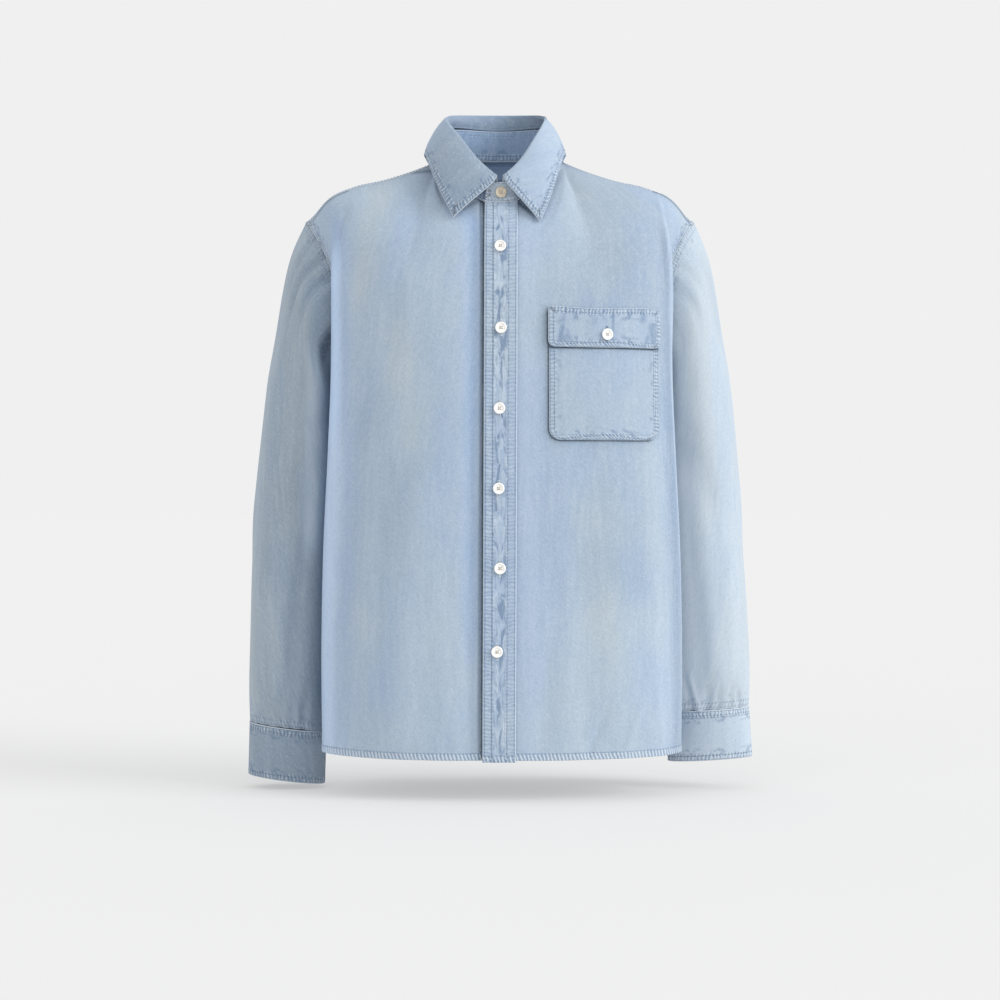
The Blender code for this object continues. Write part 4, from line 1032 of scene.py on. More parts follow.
def make_cloth(name, finish, grid, marks, thickness, wrap=False, flip=False, centre=0):
    """A cloth shell in place of a node, with the grid as its outer face.

    wrap closes it to a tube, flip turns its outer face round, and centre is the column where
    its cut starts.
    """
    rows, columns = grid.shape[:2]
    last = columns if wrap else columns - 1
    i, j = np.meshgrid(np.arange(rows - 1), np.arange(last), indexing="ij")
    k = (j + 1) % columns
    faces = np.stack((i * columns + j, i * columns + k, (i + 1) * columns + k,
                      (i + 1) * columns + j), axis=2).reshape(-1, 4)
    if flip:
        faces = faces[:, ::-1]
    mesh = bpy.data.meshes.new(name + "_cloth")
    mesh.from_pydata(grid.reshape(-1, 3), [], faces.tolist())
    mesh.shade_smooth()
    across, up = lengths(grid, 1), lengths(grid, 0)
    across = across - across[:, centre:centre + 1]
    cut = np.stack((across, up), axis=2).reshape(-1, 2)
    uv = cut[[loop.vertex_index for loop in mesh.loops]]
    if wrap:
        girth = across[:, -1] + np.linalg.norm(grid[:, 0] - grid[:, -1], axis=1)
        closing = (faces % columns == 0) & ((faces % columns).max(axis=1) > 1)[:, None]
        closing = closing.reshape(-1)
        uv[closing, 0] = girth[(faces.reshape(-1) // columns)[closing]]
    mesh.uv_layers.new(name="cut").data.foreach_set("uv", uv.reshape(-1).astype(np.float32))
    for key, values in marks.items():
        layer = mesh.attributes.new(key, "FLOAT", "POINT")
        layer.data.foreach_set("value", np.broadcast_to(values, (rows, columns))
                               .reshape(-1).astype(np.float32))
    mesh.materials.append(finish_named(finish))
    cloth = placed(name + "_cloth", mesh)
    shell = cloth.modifiers.new("wall", "SOLIDIFY")
    shell.thickness = thickness
    shell.offset = -1.0
    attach(cloth, BODY)
    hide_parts(name)
    return cloth


def spaced(length, step):
    """Shares from 0 to 1 at even steps, with a few closer ones at the ends."""
    count = max(2, int(round(length / step)))
    shares = np.linspace(0.0, 1.0, count + 1)
    close = np.array((0.00035, 0.0009, 0.0018)) / length
    return np.unique(np.concatenate((shares, close, 1 - close)))


def rounded_edges(grid, ways, sides, radius=0.0009):
    """Turn the named edges in, so that they look folded and not cut square."""
    away = edge_distances(grid)
    sink = np.zeros(grid.shape[:2])
    for side in sides:
        near = np.clip(away[side] / radius, 0.0, 1.0)
        sink = np.maximum(sink, radius * (1 - np.sqrt(1 - (1 - near) ** 2)))
    return grid - ways * sink[:, :, None]


# ---------------- sewing
STITCH_SIDES = 5
STITCH_POINTS = 2 * STITCH_SIDES + 2


class Sewing:
    """Collects stitches and joins them into one mesh.

    A stitch is a tip, two rings of points and the other tip.
    """

    def __init__(self, name, material, slot):
        self.name = name
        self.material = material
        self.slot = slot
        self.parts = []

    def stitches(self, starts, ends, ways, radius):
        """Spindle-shaped stitches from starts to ends, lying on the cloth."""
        along = unit(ends - starts)
        ways = unit(ways)
        side = unit(np.cross(along, ways))
        tip_0 = starts - ways * radius * 0.7
        tip_1 = ends - ways * radius * 0.7
        turns = np.arange(STITCH_SIDES) * 2 * pi / STITCH_SIDES
        rings = []
        for share in (0.2, 0.8):
            middle = starts * (1 - share) + ends * share + ways * radius * 0.35
            for turn in turns:
                rings.append(middle + side * radius * cos(turn) + ways * radius * 0.8 * sin(turn))
        points = np.stack([tip_0] + rings + [tip_1], axis=1)
        self.parts.append(points.reshape(-1, 3))

    def row(self, line, ways, pitch, stitch, radius):
        """A row of running stitches along a line on the cloth."""
        steps = np.linalg.norm(np.diff(line, axis=0), axis=1)
        place = np.concatenate(([0.0], np.cumsum(steps)))
        starts = np.arange(pitch / 2, place[-1] - stitch, pitch)
        if len(starts) == 0:
            return
        read = [np.stack([np.interp(at, place, source[:, axis]) for axis in range(3)], axis=1)
                for at, source in ((starts, line), (starts + stitch, line), (starts, ways))]
        self.stitches(*read, radius)

    def finish(self):
        points = np.concatenate(self.parts)
        base = np.arange(0, len(points), STITCH_POINTS)[:, None]
        second = 1 + STITCH_SIDES
        triangles, quads = [], []
        for k in range(STITCH_SIDES):
            n = (k + 1) % STITCH_SIDES
            triangles += [(0, 1 + n, 1 + k), (STITCH_POINTS - 1, second + k, second + n)]
            quads.append((1 + k, 1 + n, second + n, second + k))
        faces = [(base + np.array(face)).tolist() for face in triangles + quads]
        mesh = bpy.data.meshes.new(self.name)
        mesh.from_pydata(points, [], [face for group in faces for face in group])
        mesh.shade_smooth()
        mesh.materials.append(self.material)
        sewing = placed(self.name, mesh)
        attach(sewing, BODY)
        return sewing


def line_inside(grid, ways, side, offset, first=0.0, last=1.0):
    """A line on the cloth at a distance inside one of its edges, between two shares of it."""
    if side in ("first", "last"):
        grid, ways = grid.transpose(1, 0, 2), ways.transpose(1, 0, 2)
    if side in ("last", "high"):
        grid, ways = grid[::-1], ways[::-1]
    up = lengths(grid, 0)
    line, way = [], []
    for column in range(grid.shape[1]):
        at = np.interp(offset, up[:, column], np.arange(len(up)))
        low = min(int(at), len(up) - 2)
        t = at - low
        line.append(grid[low, column] * (1 - t) + grid[low + 1, column] * t)
        way.append(ways[low, column] * (1 - t) + ways[low + 1, column] * t)
    line, way = np.array(line), unit(np.array(way))
    keep = slice(int(first * len(line)), max(2, int(round(last * len(line)))))
    return line[keep], way[keep]


# ---------------- settings
def colour_setting(name, description, default):
    return FloatVectorProperty(name=name, description=description, default=default, size=3,
                               subtype="COLOR", min=0.0, max=1.0)


def length_setting(name, description, default):
    return FloatProperty(name=name, description=description, default=default, min=0.0,
                         unit="LENGTH", precision=4)


class ShirtCloth(bpy.types.PropertyGroup):
    """Sizes and colours of the denim."""

    single: length_setting("Single cloth", "Shown thickness of panels and sleeves", SINGLE)
    doubled: length_setting("Doubled cloth", "Shown thickness of collar, cuffs and flap", DOUBLED)
    folded: length_setting("Front band", "Shown thickness of the folded band", PLACKET_THICK)
    step: length_setting("Point distance", "Distance between the points of a panel", STEP)
    washed: colour_setting("Washed", "The most faded denim", (0.430, 0.505, 0.565))
    blue: colour_setting("Blue", "Denim that has kept its colour", (0.290, 0.405, 0.590))
    # pale is also mixed in as painted light where fade is positive
    pale: colour_setting("Pale", "Worn ridges and the white weft", (0.640, 0.710, 0.770))
    deep: colour_setting("Deep", "Cloth in the folds of a seam", (0.105, 0.175, 0.300))
    # sky paints light: the blue where tone is above 1, on the fold of the right front, and inside
    # the neck and on the stand, partly their own blue
    sky: colour_setting("Sky", "The brightest blue, along the body's folds", (0.450, 0.640, 0.950))
    # mostly painted shade, mixed in where fade is negative, with a little greyer cloth
    grey_and_shade: colour_setting("Slate", "Greyed cloth", (0.100, 0.140, 0.190))


class ShirtSewing(bpy.types.PropertyGroup):
    """Sizes and colours of thread and buttons."""

    pitch: length_setting("Stitch pitch", "From one stitch to the next", 0.0040)
    stitch: length_setting("Stitch length", "Length of one stitch", 0.0028)
    thread: length_setting("Thread", "Half the thickness of the thread", 0.00032)
    colour: colour_setting("Thread colour", "Thread of the seams", (0.36, 0.46, 0.58))
    button_thread: colour_setting("Button thread", "Thread of the buttons", (0.80, 0.75, 0.65))
    cream: colour_setting("Buttons", "Colour of the buttons", (0.95, 0.945, 0.93))
    beige: colour_setting("Collar button", "Colour of the collar's button", (0.62, 0.55, 0.44))


class ShirtStage(bpy.types.PropertyGroup):
    """Camera, lights and floor."""

    distance: length_setting("Camera distance", "From the shirt's middle plane", 2.6)
    height: FloatProperty(name="Camera height", description="Height of the level camera",
                          default=-0.402, unit="LENGTH")
    lens: FloatProperty(name="Lens", description="Focal length in millimetres", default=78.0)
    key: FloatProperty(name="Key light", description="Strength of the side light", default=1.9)
    fill: FloatProperty(name="Fill light", description="Strength of the front light", default=0.15)
    inside: FloatProperty(name="Neck light", description="Power of the light into the open neck",
                          default=0.35)
    sky: FloatProperty(name="Room light", description="Strength of the even light", default=0.871)
    floor: FloatProperty(name="Floor height", description="Height of the floor", default=-0.748,
                         unit="LENGTH")


def finish_named(name):
    """One of the shirt's finishes, made the first time that it is asked for."""
    found = bpy.data.materials.get(name)
    if found:
        return found
    cloth = bpy.context.scene.shirt_cloth
    sewing = bpy.context.scene.shirt_sewing
    keys = ("washed", "blue", "pale", "deep", "sky", "grey_and_shade")
    tones = [tuple(getattr(cloth, key)) for key in keys]
    washed, _, pale, deep, _, _ = tones
    makers = {
        "washed denim": lambda: denim(name, *tones, rows=SEAM_ROWS),
        "banded denim": lambda: denim(name, *tones, rows=TRIM_ROWS),
        "crumpled denim": lambda: denim(name, *tones, rows=BAND_ROWS, crumple=1.0),
        "seam thread": lambda: thread_finish(name, tuple(sewing.colour), deep),
        "pale thread": lambda: thread_finish(name, pale, washed),
        "button thread": lambda: thread_finish(name, tuple(sewing.button_thread),
                                               (0.56, 0.49, 0.39)),
        "cream resin": lambda: button_finish(name, tuple(sewing.cream), (0.86, 0.83, 0.77)),
        "beige resin": lambda: button_finish(name, tuple(sewing.beige), (0.42, 0.36, 0.28)),
    }
    return makers[name]()


class Stitcher(Sewing):
    """Seam stitches of one piece, at the shirt's pitch."""

    def __init__(self, name, slot):
        super().__init__(name, finish_named("seam thread"), slot)
        self.sizes = bpy.context.scene.shirt_sewing

    def seam(self, line, ways):
        self.row(line, ways, self.sizes.pitch, self.sizes.stitch, self.sizes.thread)

    def inside(self, grid, ways, sides, offsets, first=0.0, last=1.0):
        """Rows at the distances inside each of the named edges."""
        for side in sides:
            for offset in offsets:
                self.seam(*line_inside(grid, ways, side, offset, first, last))


def raised(grid, ways, side, width, height):
    """Lift a seam's band, where more layers lie on each other."""
    band = 1 - ease((edge_distances(grid)[side] - width) / 0.0012 + 0.5)
    return grid + ways * (height * band)[:, :, None]


def even_keys(points, first, last, step, low=(), high=(), level=(0.45, 0.55), axis=1):
    """Stations or levels that lie evenly along the middle of a panel, and close at its ends."""
    keys = np.linspace(first, last, 240)
    level = np.array(level)
    line = points(keys, level)[0][0] if axis == 1 else points(level, keys)[0][:, 0]
    place = np.concatenate(([0.0], np.cumsum(np.linalg.norm(np.diff(line, axis=0), axis=1))))
    total = place[-1]
    shares = np.concatenate((np.linspace(0.0, 1.0, int(total / step) + 1),
                             np.array(low) / total, 1 - np.array(high) / total))
    shares = np.unique(np.round(shares, 6))
    wide = np.concatenate(([True], np.diff(shares) * total > 0.00015))
    return np.interp(shares[wide] * total, place, keys)


# distances from an edge at which a panel has closer points
NEAR_EDGE = (0.0003, 0.0008, 0.0016)
NEAR_HEM = NEAR_EDGE + (0.0078, 0.0086, 0.0094, 0.0102)
# the same on the fronts, for the band's free edge and the pocket's inner and lower edge
NEAR_BAND = tuple(0.0322 + 0.0008 * k for k in range(11))
NEAR_POCKET_SIDE = tuple(0.0340 + 0.0008 * k for k in range(9))
NEAR_POCKET_LOW = tuple(0.3620 + 0.0008 * k for k in range(8))

# where the wash has left more blue, or less where negative: the columns of the folds, with a
# strength in the place of how far out; the rows on the fold of the right front go above 1,
# where they paint light in sky blue
FRONT_WASH_AND_LIGHT = (
    (-0.42, -0.05, -0.42, 0.30, 0.200, -0.30),
    (0.44, -0.05, 0.44, 0.30, 0.200, -0.30),
    (-0.690, -0.05, -0.690, 0.62, 0.100, 1.20),
    (-0.700, 0.62, -0.700, 0.92, 0.085, 1.45),
    (0.690, 0.20, 0.690, 0.90, 0.045, 0.25),
    (-0.110, 0.20, -0.105, 1.00, 0.040, 0.45),
    (0.110, -0.02, 0.100, 0.95, 0.045, 0.30),
    (-0.42, 0.08, -0.38, 0.34, 0.100, 0.35),
    (-0.32, 0.58, -0.40, 0.80, 0.080, -0.40),
    (-0.56, 0.80, -0.50, 1.00, 0.080, -0.45),
    (0.40, 0.86, 0.46, 1.02, 0.120, -0.35),
    (0.36, 0.22, 0.34, 0.50, 0.110, -0.35),
    (0.55, 0.10, 0.52, 0.40, 0.060, 0.25),
)
# where the cloth is paler, or greyer where negative: painted light on the fold of the right
# front, a painted highlight along the fold's edge on the left front, painted shadow beside the
# collar's leaves, and elsewhere paler and greyer cloth
FRONT_PALE_AND_SHADE = (
    (-0.66, -0.05, -0.67, 0.62, 0.110, 0.40),
    (-0.68, 0.62, -0.69, 0.92, 0.100, 0.32),
    (-0.150, 0.05, -0.150, 0.95, 0.040, 0.10),
    (0.110, -0.02, 0.100, 0.95, 0.045, 0.24),
    (0.44, 0.30, 0.46, 0.86, 0.200, -0.12),
    (0.46, 0.84, 0.50, 1.02, 0.180, -0.22),
    (0.690, -0.05, 0.690, 0.95, 0.050, -0.32),
    (0.756, -0.05, 0.715, 0.97, 0.010, 0.42),
    (-0.239, 0.955, -0.459, 1.010, 0.014, -0.90),
    (0.165, 0.925, 0.380, 1.010, 0.018, -0.15),
    (-0.152, 0.955, -0.050, 1.010, 0.007, -0.60),
    (0.126, 0.952, 0.041, 1.010, 0.009, -1.50),
    (-0.35, 0.35, -0.35, 0.60, 0.120, -0.08),
)
# on the flap, where it is bluer and darker
FLAP_WASH = (
    (0.095, 0.10, 0.130, 0.54, 0.020, 1.00),
    (0.150, 0.10, 0.160, 0.30, 0.028, 0.90),
    (0.210, 0.10, 0.160, 0.46, 0.016, 0.60),
    (0.130, 0.60, 0.155, 0.98, 0.018, 0.80),
    (0.240, 0.68, 0.230, 0.98, 0.022, 0.55),
    (0.410, 0.60, 0.420, 0.98, 0.022, 0.50),
    (0.490, 0.70, 0.480, 0.98, 0.018, 0.60),
    (0.575, 0.34, 0.565, 0.96, 0.009, 1.00),
    (0.700, 0.72, 0.720, 0.98, 0.020, 0.60),
    (0.830, 0.64, 0.850, 0.98, 0.028, 0.80),
    (0.930, 0.10, 0.910, 0.60, 0.026, 0.90),
    (0.860, 0.10, 0.885, 0.34, 0.018, 0.60),
)
BACK_WASH = (
    (-0.95, 0.00, -0.96, 0.80, 0.060, 0.60),
    (0.95, 0.00, 0.96, 0.80, 0.060, 0.60),
    (-0.30, 0.20, -0.20, 0.70, 0.120, -0.40),
    (0.25, 0.10, 0.34, 0.60, 0.120, -0.30),
)
# on the sleeves: partly wash, partly painted shade in blue on the inner side beside the body, and
# painted light on the outer side
SLEEVE_WASH_AND_LIGHT = (
    (150.0, 0.05, 155.0, 0.95, 22.0, 0.60),
    (95.0, 0.10, 80.0, 0.60, 20.0, -0.35),
    (26.0, 0.10, 30.0, 0.95, 22.0, -0.20),
    (230.0, 0.30, 250.0, 0.80, 30.0, 0.35),
)
BODY_TONE = 0.25
# painted light on the left sleeve and cuff, which face the light, and painted shade on the right
# ones
SLEEVE_SIDE_LIGHT = {"right": -0.34, "left": 0.26}
CUFF_SIDE_LIGHT = {"right": -0.45, "left": 0.31}
# painted shade and painted light added along a sleeve: a painted shadow where the body beside
# it shades it, and painted light on strips beside the body and on the outer side
SLEEVE_SHADE = {
    "right": (
        (118.0, -0.05, 124.0, 0.18, 10.0, -0.75),
        (112.0, 0.18, 120.0, 0.62, 14.0, 0.60),
        (100.0, 0.05, 112.0, 0.60, 7.0, 0.10),
        (22.0, 0.00, 22.0, 1.05, 20.0, 0.16),
    ),
    "left": (
        (124.0, -0.05, 134.0, 0.45, 24.0, 0.85),
        (134.0, 0.45, 150.0, 1.05, 27.0, 1.30),
        (40.0, -0.05, 30.0, 1.05, 26.0, -0.06),
    ),
}
# painted shadow close beside what lies on a front: strength and width of the dark line, and of
# its soft part
PATCH_SHADE = (1.45, 0.0011, 0.42, 0.0050)
FLAP_SHADE = (1.50, 0.0014, 0.20, 0.0045)
BAND_SHADE = (2.10, 0.0021, 0.15, 0.0060)
# strength and width of the dark line along an edge that turns in to a seam
FRONT_TOP_LINE = (0.8, 0.0012)
SLEEVE_HEAD_LINE = (0.5, 0.0016)
SLEEVE_END_LINE = (0.7, 0.0011)
CUFF_TOP_LINE = (0.45, 0.0009)


def contact_shade(away, dark, width, soft, reach):
    """Shade at a distance from what lies on the cloth: a dark line and a soft part."""
    return dark * np.exp(-(away / width) ** 2) + soft * np.exp(-away / reach)


def beside_patch(x, z, box_x, box_z, corner):
    """How dark the cloth is close outside a laid patch, on the sides away from the light."""
    middle = (box_x[0] + box_x[1]) / 2, (box_z[0] + box_z[1]) / 2
    half = (box_x[1] - box_x[0]) / 2 - corner, (box_z[1] - box_z[0]) / 2 - corner
    off_x, off_z = x - middle[0], z - middle[1]
    over_x = np.maximum(np.abs(off_x) - half[0], 0.0) * np.sign(off_x)
    over_z = np.maximum(np.abs(off_z) - half[1], 0.0) * np.sign(off_z)
    reach = np.hypot(over_x, over_z)
    facing = np.clip(-(over_x + over_z * 0.7) / np.maximum(reach, 1e-6), 0.0, 1.0)
    away = np.maximum(reach - corner, 0.0)
    return -facing * contact_shade(away, *PATCH_SHADE)


def laid_shade(stations, up, side):
    """The same on a front: beside the band on the right one, round the pocket on the left."""
    x = front_points(stations, up, creased=False)[0][:, :, 0]
    if side == "right":
        away = np.maximum(PLACKET_RIGHT_X + PLACKET_LEAN * (1 - up)[:, None] - x, 0.0)
        return -contact_shade(away, *BAND_SHADE)
    column = int(np.argmin(np.abs(FRONT.stations - LEVEL_STATION)))
    z = np.interp(up, FRONT.levels, FRONT.plain_z[:, column])[:, None]
    pocket = beside_patch(x, z, POCKET_X, POCKET_Z, POCKET_CORNER)
    flap = beside_patch(x, z, FLAP_X, FLAP_Z, FLAP_CORNER)
    return np.minimum(pocket, flap)


def seam_line(grid, side, depth, width):
    """How dark a piece is along its low or high edge, where it turns in to a seam."""
    return -depth * np.exp(-(edge_distances(grid)[side] / width) ** 2)


# ---------------- operators
class SHIRT_OT_fronts(bpy.types.Operator):
    """Cut and sew the two fronts"""

    bl_idname = "shirt.fronts"
    bl_label = "Fronts"

    def execute(self, context):
        sizes = context.scene.shirt_cloth
        low = NEAR_HEM + NEAR_POCKET_LOW
        up = even_keys(front_points, 0.0, 1.0, sizes.step, low, NEAR_EDGE + (0.009, 0.010),
                       (0.30, 0.32), axis=0)
        armhole = (up > UNDERARM)[:, None, None]
        pieces = (
            ("right", -1.0, BUTTON_EDGE_STATION, "first", NEAR_EDGE, NEAR_EDGE + NEAR_BAND),
            ("left", PLACKET_SEAM_STATION, 1.0, "last", NEAR_EDGE + NEAR_POCKET_SIDE, NEAR_EDGE),
        )
        for hand, first, last, side, near_first, near_last in pieces:
            name = "front_" + hand
            stations = even_keys(front_points, first, last, sizes.step, near_first, near_last)
            grid, heights = front_points(stations, up)
            # tone and fade hold painted light along the fold of the right front, a painted
            # highlight on the left fold's edge, and painted shadow beside the band, round the
            # pocket and under the collar
            tone = panel_folds(stations, up, FRONT_WASH_AND_LIGHT) + BODY_TONE
            fade = panel_folds(stations, up, FRONT_PALE_AND_SHADE) + laid_shade(stations, up, hand)
            fade = fade + seam_line(grid, "high", *FRONT_TOP_LINE)
            ways = normals(grid)
            grid = grid + ways * panel_folds(stations, up, BAND_GROOVE)[:, :, None]
            grid = np.where(armhole, raised(grid, ways, side, *SEAM_BAND), grid)
            grid = rounded_edges(raised(grid, ways, "low", *HEM_BAND), ways, ("low",))
            grid = draw_in(draw_in(grid, (side,)), ("high",), SHOULDER_GAP)
            marks = marks_of(grid, {side: 1.0, "high": 0.12}, heights, tone, fade, hem=True)
            cloth = make_cloth(name, "washed denim", grid, marks, sizes.single)
            ways = normals(grid)
            stitches = Stitcher(name + "_stitches", "denim")
            stitches.inside(grid, ways, ("low",), (HEM_ROW,))
            stitches.inside(grid, ways, (side,), SEAM_ROWS, first=UNDERARM)
            stitches.finish()
        return {"FINISHED"}


class SHIRT_OT_back(bpy.types.Operator):
    """Cut and sew the back and the yoke"""

    bl_idname = "shirt.back"
    bl_label = "Back and yoke"

    def execute(self, context):
        sizes = context.scene.shirt_cloth
        self.back(sizes)
        self.yoke(sizes)
        return {"FINISHED"}

    def back(self, sizes):
        near = NEAR_EDGE + (0.009,)
        stations = even_keys(back_points, -1.0, 1.0, sizes.step * 1.1, near, near)
        up = even_keys(back_points, 0.0, 1.0, sizes.step, NEAR_HEM, NEAR_EDGE, (0.0, 0.02), axis=0)
        grid, heights = back_points(stations, up)
        ways = -normals(grid)
        tone = panel_folds(stations, up, BACK_WASH) + BODY_TONE
        for side in ("first", "last"):
            grid = raised(grid, ways, side, *SEAM_BAND)
        grid = rounded_edges(raised(grid, ways, "low", *HEM_BAND), ways, ("low",))
        grid = draw_in(grid, ("first", "last", "high"))
        sewn = {"first": 0.9, "last": 0.9, "high": 0.8}
        marks = marks_of(grid, sewn, heights, tone, hem=True)
        cloth = make_cloth("back", "washed denim", grid, marks, sizes.single,
                           flip=True, centre=len(stations) // 2)
        stitches = Stitcher("back_stitches", "denim")
        ways = -normals(grid)
        stitches.inside(grid, ways, ("low",), (HEM_ROW,))
        stitches.inside(grid, ways, ("first", "last"), SEAM_ROWS)
        stitches.finish()

    def yoke(self, sizes):
        near = NEAR_EDGE + (0.0085, 0.0095)
        down = even_keys(yoke_points, 0.0, 1.0, sizes.step, near, near, (0.60, 0.62), axis=0)
        stations = even_keys(yoke_points, -1.0, 1.0, sizes.step, NEAR_EDGE, NEAR_EDGE, (0.3, 0.4))
        grid, heights = yoke_points(stations, down)
        ways = normals(grid)
        grid = raised(raised(grid, ways, "high", *SEAM_BAND), ways, "low", *SEAM_BAND)
        grid = draw_in(draw_in(grid, ("first", "last", "high")), ("low",), YOKE_GAP)
        # painted light: sky blue near the neck, seen inside the collar where it lies in shade;
        # partly the inside's own unfaded blue
        inside = 1 - ease((lengths(grid, 0) - 0.020) / 0.010)
        inside = inside * (1 - ease((np.abs(stations) - 0.40) / 0.06))[None, :]
        sewn = {"first": 0.9, "last": 0.9, "low": 0.15, "high": 0.8}
        marks = marks_of(grid, sewn, heights, 0.10 + 1.90 * inside, 0.08)
        cloth = make_cloth("yoke", "washed denim", grid, marks, sizes.single,
                           centre=len(stations) // 2)
        stitches = Stitcher("yoke_stitches", "denim")
        ways = normals(grid)
        stitches.inside(grid, ways, ("low", "high"), YOKE_ROWS)
        stitches.inside(grid, ways, ("first", "last"), SEAM_ROWS)
        stitches.finish()


class SHIRT_OT_sleeves(bpy.types.Operator):
    """Cut and sew the sleeves and the strips over their slits"""

    bl_idname = "shirt.sleeves"
    bl_label = "Sleeves"

    def execute(self, context):
        sizes = context.scene.shirt_cloth
        for side, sign, rings, _ in SIDES:
            self.sleeve(sizes, side, sign, rings)
            self.strip(sizes, side, sign, rings)
        return {"FINISHED"}

    def sleeve(self, sizes, side, sign, rings):
        def surface(around, along):
            return sleeve_points(around, along, side, rings, 1.0)

        name = "sleeve_" + side
        angles = np.linspace(0.0, 360.0, int(SLEEVE_ROUND / sizes.step) + 1)[:-1]
        along = even_keys(surface, 0.0, 1.0, sizes.step, NEAR_EDGE, NEAR_EDGE, (88.0, 90.0, 92.0),
                          axis=0)
        grid, heights = sleeve_points(angles, along, side, rings, sign)
        draw_in(grid, ("high",))
        draw_in(grid, ("low",), SLEEVE_HEAD_GAP)
        # painted light and painted shade: the side's light, strips beside the body, and part of the
        # tone
        tone = panel_folds(angles, along, SLEEVE_WASH_AND_LIGHT, turn=360.0)
        shade = panel_folds(angles, along, SLEEVE_SHADE[side], turn=360.0)
        shade += (seam_line(grid, "low", *SLEEVE_HEAD_LINE)
                  + seam_line(grid, "high", *SLEEVE_END_LINE))
        marks = marks_of(grid, {"low": 0.5, "high": 0.6}, heights, tone, SLEEVE_SIDE_LIGHT[side] + shade)
        cloth = make_cloth(name, "washed denim", grid, marks, sizes.single, wrap=True,
                           flip=sign < 0)
        ways = normals(grid, wrap=True) * sign
        stitches = Stitcher(name + "_stitches", "denim")
        under = int(np.searchsorted(angles, 180.0))
        for column in (under, under + 2):
            stitches.seam(grid[:, column], ways[:, column])
        stitches.finish()

    def strip(self, sizes, side, sign, rings):
        """A pointed strip over the slit above a cuff."""
        name = "sleeve_placket_" + side
        along = np.linspace(SLEEVE_PLACKET_TOP, SLEEVE_PLACKET_END, 60)
        angles = np.linspace(CUFF_LAP_ANGLE - SLEEVE_PLACKET_TURN,
                             CUFF_LAP_ANGLE + SLEEVE_PLACKET_TURN, 25)
        wide = np.linspace(0.0, 360.0, 181)[:-1]
        grid, _ = sleeve_points(wide, along, side, rings, sign)
        columns = np.interp(angles, wide, np.arange(len(wide)))
        low = columns.astype(int)
        share = (columns - low)[None, :, None]
        strip = grid[:, low] * (1 - share) + grid[:, low + 1] * share
        ways = normals(strip) * sign
        middle = strip[:, 12:13]
        half = lengths(strip, 1)[:, -1:, None] / 2
        point = np.clip((along[:, None, None] - SLEEVE_PLACKET_TOP) / 0.020 + 0.02, 0.0, 1.0)
        narrow = SLEEVE_PLACKET_HALF * point
        strip = middle + (strip - middle) * np.minimum(narrow / half, 1.0)
        strip = strip + ways * (LAID_GAP + SOLID_WALL)
        strip = rounded_edges(strip, ways, ("first", "last"))
        sewn = {"first": 1.0, "last": 1.0, "low": 1.0}
        # painted light on the left strip and painted shade on the right one, as on its sleeve
        marks = marks_of(strip, sewn, tone=0.2, fade=SLEEVE_SIDE_LIGHT[side])
        cloth = make_cloth(name, "banded denim", strip, marks, sizes.single,
                           flip=sign < 0)
        stitches = Stitcher(name + "_stitches", "denim_trim")
        stitches.inside(strip, ways, ("first", "last"), (0.0018,))
        stitches.finish()


class SHIRT_OT_cuffs(bpy.types.Operator):
    """Sew the cuffs"""

    bl_idname = "shirt.cuffs"
    bl_label = "Cuffs"

    def execute(self, context):
        sizes = context.scene.shirt_cloth
        angles = CUFF_START + (360.0 + CUFF_LAP) * spaced(CUFF_ROUND, sizes.step)
        rows = spaced(CUFF_TALL, sizes.step * 0.8)
        for side, sign, rings, edge in SIDES:
            name = "cuff_" + side
            grid = draw_in(cuff_points(angles, rows, rings, edge, sign), ("high",))
            ways = -sign * normals(grid)
            grid = rounded_edges(grid, ways, ("first", "last", "low"), TRIM_EDGE)
            sewn = {"first": 1.0, "last": 1.0, "low": 1.0, "high": 1.0}
            # painted light on the left cuff and painted shade on the right one
            fade = CUFF_SIDE_LIGHT[side] + seam_line(grid, "high", *CUFF_TOP_LINE)
            marks = marks_of(grid, sewn, fade=fade)
            cloth = make_cloth(name, "banded denim", grid, marks, sizes.doubled,
                               flip=sign > 0)
            stitches = Stitcher(name + "_stitches", "denim_trim")
            stitches.inside(grid, ways, ("high",), (0.0015, 0.0090))
            stitches.inside(grid, ways, ("low",), (0.0066,))
            stitches.inside(grid, ways, ("first", "last"), (0.0020,))
            stitches.finish()
        return {"FINISHED"}


def placket_places(across, levels):
    shift = (PLACKET_LEAN * (1 - levels))[:, None]
    return PLACKET_RIGHT_X + (PLACKET_LEFT_X - PLACKET_RIGHT_X) * across[None, :] + shift


